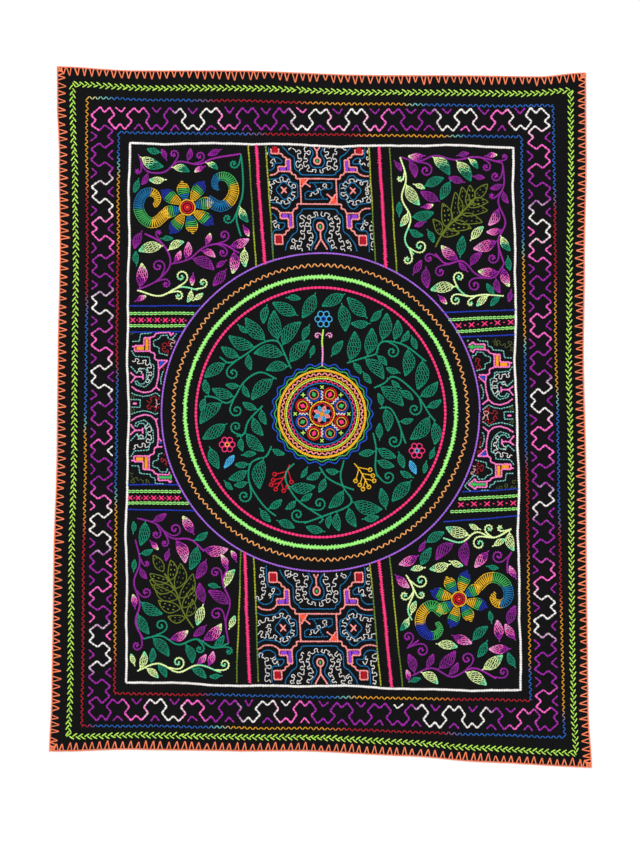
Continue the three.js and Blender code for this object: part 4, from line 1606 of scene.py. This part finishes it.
def rosette_hoops(yarn, rows):
    """Round lines, each a radius, colour, width and pitch, with a count and depth of lobes where it waves."""
    for radius, colour, width, pitch, *waves in rows:
        lobes, depth = waves or (0, 0.0)
        points = round_line(ROSETTE_MIDDLE, radius, lobes, depth, int(radius * 4) + 12)
        back_stitch(yarn, resample(points, pitch), width, linear(colour), LAP)


def rosette_zigzag(yarn, radius, colour, swing, count, width):
    swung = radius + swing * np.where(np.arange(count * 2 + 1) % 2, 1, -1)
    points = polar(ROSETTE_MIDDLE, swung, np.linspace(0, TAU, count * 2 + 1))
    back_stitch(yarn, points, width, linear(colour), overlap=0.06)


def rosette_disc(yarn, index):
    """One of the discs between the rosette's bands, and the cross and wandering line beside it."""
    way = direction(TAU * (index + 0.5) / DISCS)
    middle = ROSETTE_MIDDLE + way * DISC_REACH
    odd = index % 2
    for radius, count, width, colour in ((8.6, 30, 1.8, "berry_red" if odd else "royal_blue"),
                                         (6.2, 24, 1.5, "golden" if odd else "coral")):
        rim = resample(round_line(middle, radius, count=count), 2.8)
        back_stitch(yarn, rim, width, linear(colour), overlap=0.1)
    for level in np.linspace(-3.1, 3.1, 6):
        half = left_of(way) * (4 - abs(level))
        row = middle + way * level
        yarn.straight(row - half, row + half, 1.5, linear("hot_pink" if odd else "leaf_green"))
    spoke = direction(TAU * index / DISCS)
    across = left_of(spoke)
    mark = ROSETTE_MIDDLE + spoke * MARK_REACH
    for hand in (-1, 1):
        arm = 2.6 * spoke + hand * 2.6 * across
        yarn.straight(mark - arm, mark + arm, 1.6, linear("lime"))
    path = [ROSETTE_MIDDLE + spoke * reach + across * (1.7 if step % 2 == 0 else -1.7)
            for step, reach in enumerate(np.arange(18, 31, 2.1))]
    back_stitch(yarn, np.array(path), 1.25, linear("white"), overlap=0.06)


def make_rosette(seed):
    yarn = Yarn("rosette", seed)
    rosette_hoops(yarn, [(64.8, "royal_blue", 2.0, 2.6, 24, 2.2), (61.0, "leaf_green", 1.6, 2.4, 24, 1.4),
                         (57.5, "golden", 1.9, 3.2), (56.0, "golden", 1.9, 3.2)])
    rosette_zigzag(yarn, 52.3, "salmon", 1.9, 44, 1.8)
    rosette_hoops(yarn, [(48.6, "golden", 1.8, 3.2), (46.4, "lime", 2.0, 3.2)])
    rosette_zigzag(yarn, 43.2, "hot_pink", 1.6, 36, 1.6)
    rosette_hoops(yarn, [(40.2, "sea_blue", 1.8, 3.2)])
    for index in range(DISCS):
        rosette_disc(yarn, index)
    rosette_hoops(yarn, [(16.2, "golden", 2.0, 3.2), (13.6, "berry_red", 1.9, 3.2, 8, 1.1)])
    for index in range(DISCS):
        way = direction(TAU * (index + 0.5) / DISCS)
        base, tip = ROSETTE_MIDDLE + way * 3.4, ROSETTE_MIDDLE + way * 11.4
        stitch_leaf(yarn, base, tip, 4.8, plain("salmon" if index % 2 else "sky"), 1.7)
    rosette_hoops(yarn, [(2.6, "yellow", 1.7, 1.8), (1.1, "yellow", 1.7, 1.8)])
    return yarn.build()


# The small pieces in the wreath.
SPRIGS = (((-40, -62), (-0.5, -0.87), "berry_red"), ((44, -60), (0.52, -0.85), "golden"))
SPRIG_SIZE = 34.0
BERRIES = ((0.22, 1), (0.3, -1), (0.5, 1), (0.58, -1), (0.76, 1), (0.82, -1), (1.0, 0))
SMALL_FLOWERS = (((-122, -36), 11, "hot_pink", "golden"), ((126, -44), 11, "hot_pink", "sky"),
                 ((4, 128), 12, "sky", "royal_blue"))
BUDS = (((-113, -50), (-126, -67)), ((117, -57), (125, -75)))
TENDRIL = [(4, 115), (2, 100), (3, 84), (2, 66)]
WREATH_STARTS = (62, 32, 2, -28, -60, 118, 148, 178, 208, 240, 276)
WREATH_LENGTHS = (38, 35, 32, 29, 26, 23, 20, 17)
WREATH_FILL = (35, 32, 29, 26, 23, 20, 17, 14)
WREATH_BOX = ((-152, -150), (154, 162))


def small_flower(yarn, centre, size, petal_colour, eye_colour):
    for index in range(6):
        spot = centre + size * 0.62 * direction(TAU * index / 6)
        hoop(yarn, spot, size * 0.33, petal_colour, 1.5, 9)
    hoop(yarn, centre, size * 0.24, eye_colour, 1.5, 7)


def berry_sprig(yarn, base, way, colour):
    side = left_of(way)
    stem = curved([base, base + way * SPRIG_SIZE * 0.5 + side * 1.5, base + way * SPRIG_SIZE])
    stitch_vine(yarn, stem, plain(colour), 1.8)
    for share, hand in BERRIES:
        foot = stem[int(share * (len(stem) - 1))]
        reach = SPRIG_SIZE * (0.5 - 0.22 * share)
        tip = foot + way * reach * (0.75 if hand else 0.3) + side * hand * reach * 0.8
        stitch_vine(yarn, np.array([foot, tip]), plain(colour), 1.5)
        hoop(yarn, tip, 2.5, colour, 1.6, 9)


def wreath_vine(index, start):
    """A vine that sways out from the rosette to the ring."""
    hand = 1 if index < 5 else -1
    points = []
    for share in np.linspace(0, 1, 7):
        reach = 73 + 76 * share ** 0.8 + 4.5 * math.sin(share * 8 + index)
        sway = 0.55 * share + 0.13 * math.sin(share * 7 + index * 1.7)
        points.append(RING_CENTRE + reach * direction(math.radians(start) - hand * sway))
    return curved(points)


def make_medallion(seed):
    make_rosette(seed)
    plan = Plan(medallion_room, seed + 1)
    details = Yarn("medallion_flowers", seed + 3)
    for base, way, colour in SPRIGS:
        base, way = np.array(base, float), np.array(way)
        berry_sprig(details, base, way, colour)
        for reach in (6, 13, 20, 27, 34):
            for radius in (2, 5, 8, 11, 14):
                plan.take(round_line(base + way * reach, radius, count=50), 1.2)
    for centre, size, petals, eye in SMALL_FLOWERS:
        small_flower(details, np.array(centre, float), size, petals, eye)
        plan.take_discs(centre, np.arange(1, size + 3, 1.0))
    for base, tip in BUDS:
        base = np.array(base, float)
        stitch_leaf(details, base, tip, 8, plain("sky"), 1.8)
        plan.take(leaf_cover(base, tip, 10), 1.4)
    tendril = curved(TENDRIL)
    stitch_vine(details, tendril, [("lime", 0.4), ("light_pink", 1.0)])
    plan.take(thick_cover(tendril, 3), 1)
    for hand, start in ((1, math.pi), (-1, 0.0)):
        centre = (4 + hand * 8, 106)
        stitch_vine(details, spiral(centre, 5.5, start, 1.4, -hand), plain("light_pink"), STALK_YARN)
        plan.take_discs(centre, range(1, 8), 30)
    details.build()
    leaves = Yarn("medallion_leaves", seed + 2)
    lines = [(wreath_vine(*row), plain("teal_green"), ["teal"]) for row in enumerate(WREATH_STARTS)]
    grow_vines(leaves, plan, lines, 0.8, (WIDE_COILS,), (8.5, 7.5, 6.5), thick=2.8, curls_from=0.5,
               spacing=10, lengths=WREATH_LENGTHS, pitch=2.6)
    fill_gaps(leaves, plan, *WREATH_BOX, ["teal"], 60000, WREATH_FILL, 2.6)
    leaves.build()


# Setting: the photograph's view straight from above, a pale floor and soft light.
FLOOR_SIZE = 6.0
FLOOR_DROP = 0.15 * MM
VIEW_CENTRE = (-0.65 * MM, -12.4 * MM)
VIEW_HEIGHT = 1115.7 * MM
CAMERA_HEIGHT = 2.6
SENSOR = 36.0
LIGHTS = (("key", (-1.1, 1.3, 2.3), 1.6, 40.0), ("fill", (1.6, -0.9, 2.2), 2.4, 26.0))
SURROUND_STRENGTH = 0.62


def make_setting():
    bpy.ops.mesh.primitive_plane_add(size=FLOOR_SIZE, location=(0, 0, -FLOOR_DROP))
    floor = bpy.context.object
    floor.name = "floor"
    paper = Look("Pale floor", 0.9, 0.0, 0.12)
    paper.surface.inputs["Base Color"].default_value = (0.95, 0.95, 0.95, 1)
    floor.data.materials.append(paper.material)

    scene = bpy.context.scene
    lens = bpy.data.cameras.new("camera")
    lens.sensor_width = SENSOR
    lens.lens = SENSOR * CAMERA_HEIGHT / VIEW_HEIGHT
    camera = bpy.data.objects.new("camera", lens)
    camera.location = (*VIEW_CENTRE, CAMERA_HEIGHT)
    scene.collection.objects.link(camera)
    scene.camera = camera

    for name, place, size, power in LIGHTS:
        light = bpy.data.lights.new(name, "AREA")
        light.size = size
        light.energy = power
        lamp = bpy.data.objects.new(name, light)
        lamp.location = place
        lamp.rotation_euler = (-lamp.location).to_track_quat("-Z", "Y").to_euler()
        scene.collection.objects.link(lamp)

    world = bpy.data.worlds.new("soft light")
    world.use_nodes = True
    world.node_tree.nodes["Background"].inputs["Color"].default_value = (1, 1, 1, 1)
    world.node_tree.nodes["Background"].inputs["Strength"].default_value = SURROUND_STRENGTH
    scene.world = world
    scene.view_settings.view_transform = "Standard"


ground = make_cloth()
edgings = [make_edging(side, 20 + index) for index, side in enumerate(EDGES)]
make_feather(30)
make_zigzag("outer_zigzag", OUTER_RUNS, 31)
make_zigzag("inner_zigzag", INNER_RUNS, 32)
make_cross_border(33)
make_frame_line(35)
make_rings(40)
make_bands("bands_upright", VERTICAL_BANDS, 50)
make_bands("bands_level", HORIZONTAL_BANDS, 90)
make_panels(140)
make_corners()
make_medallion(300)
make_setting()
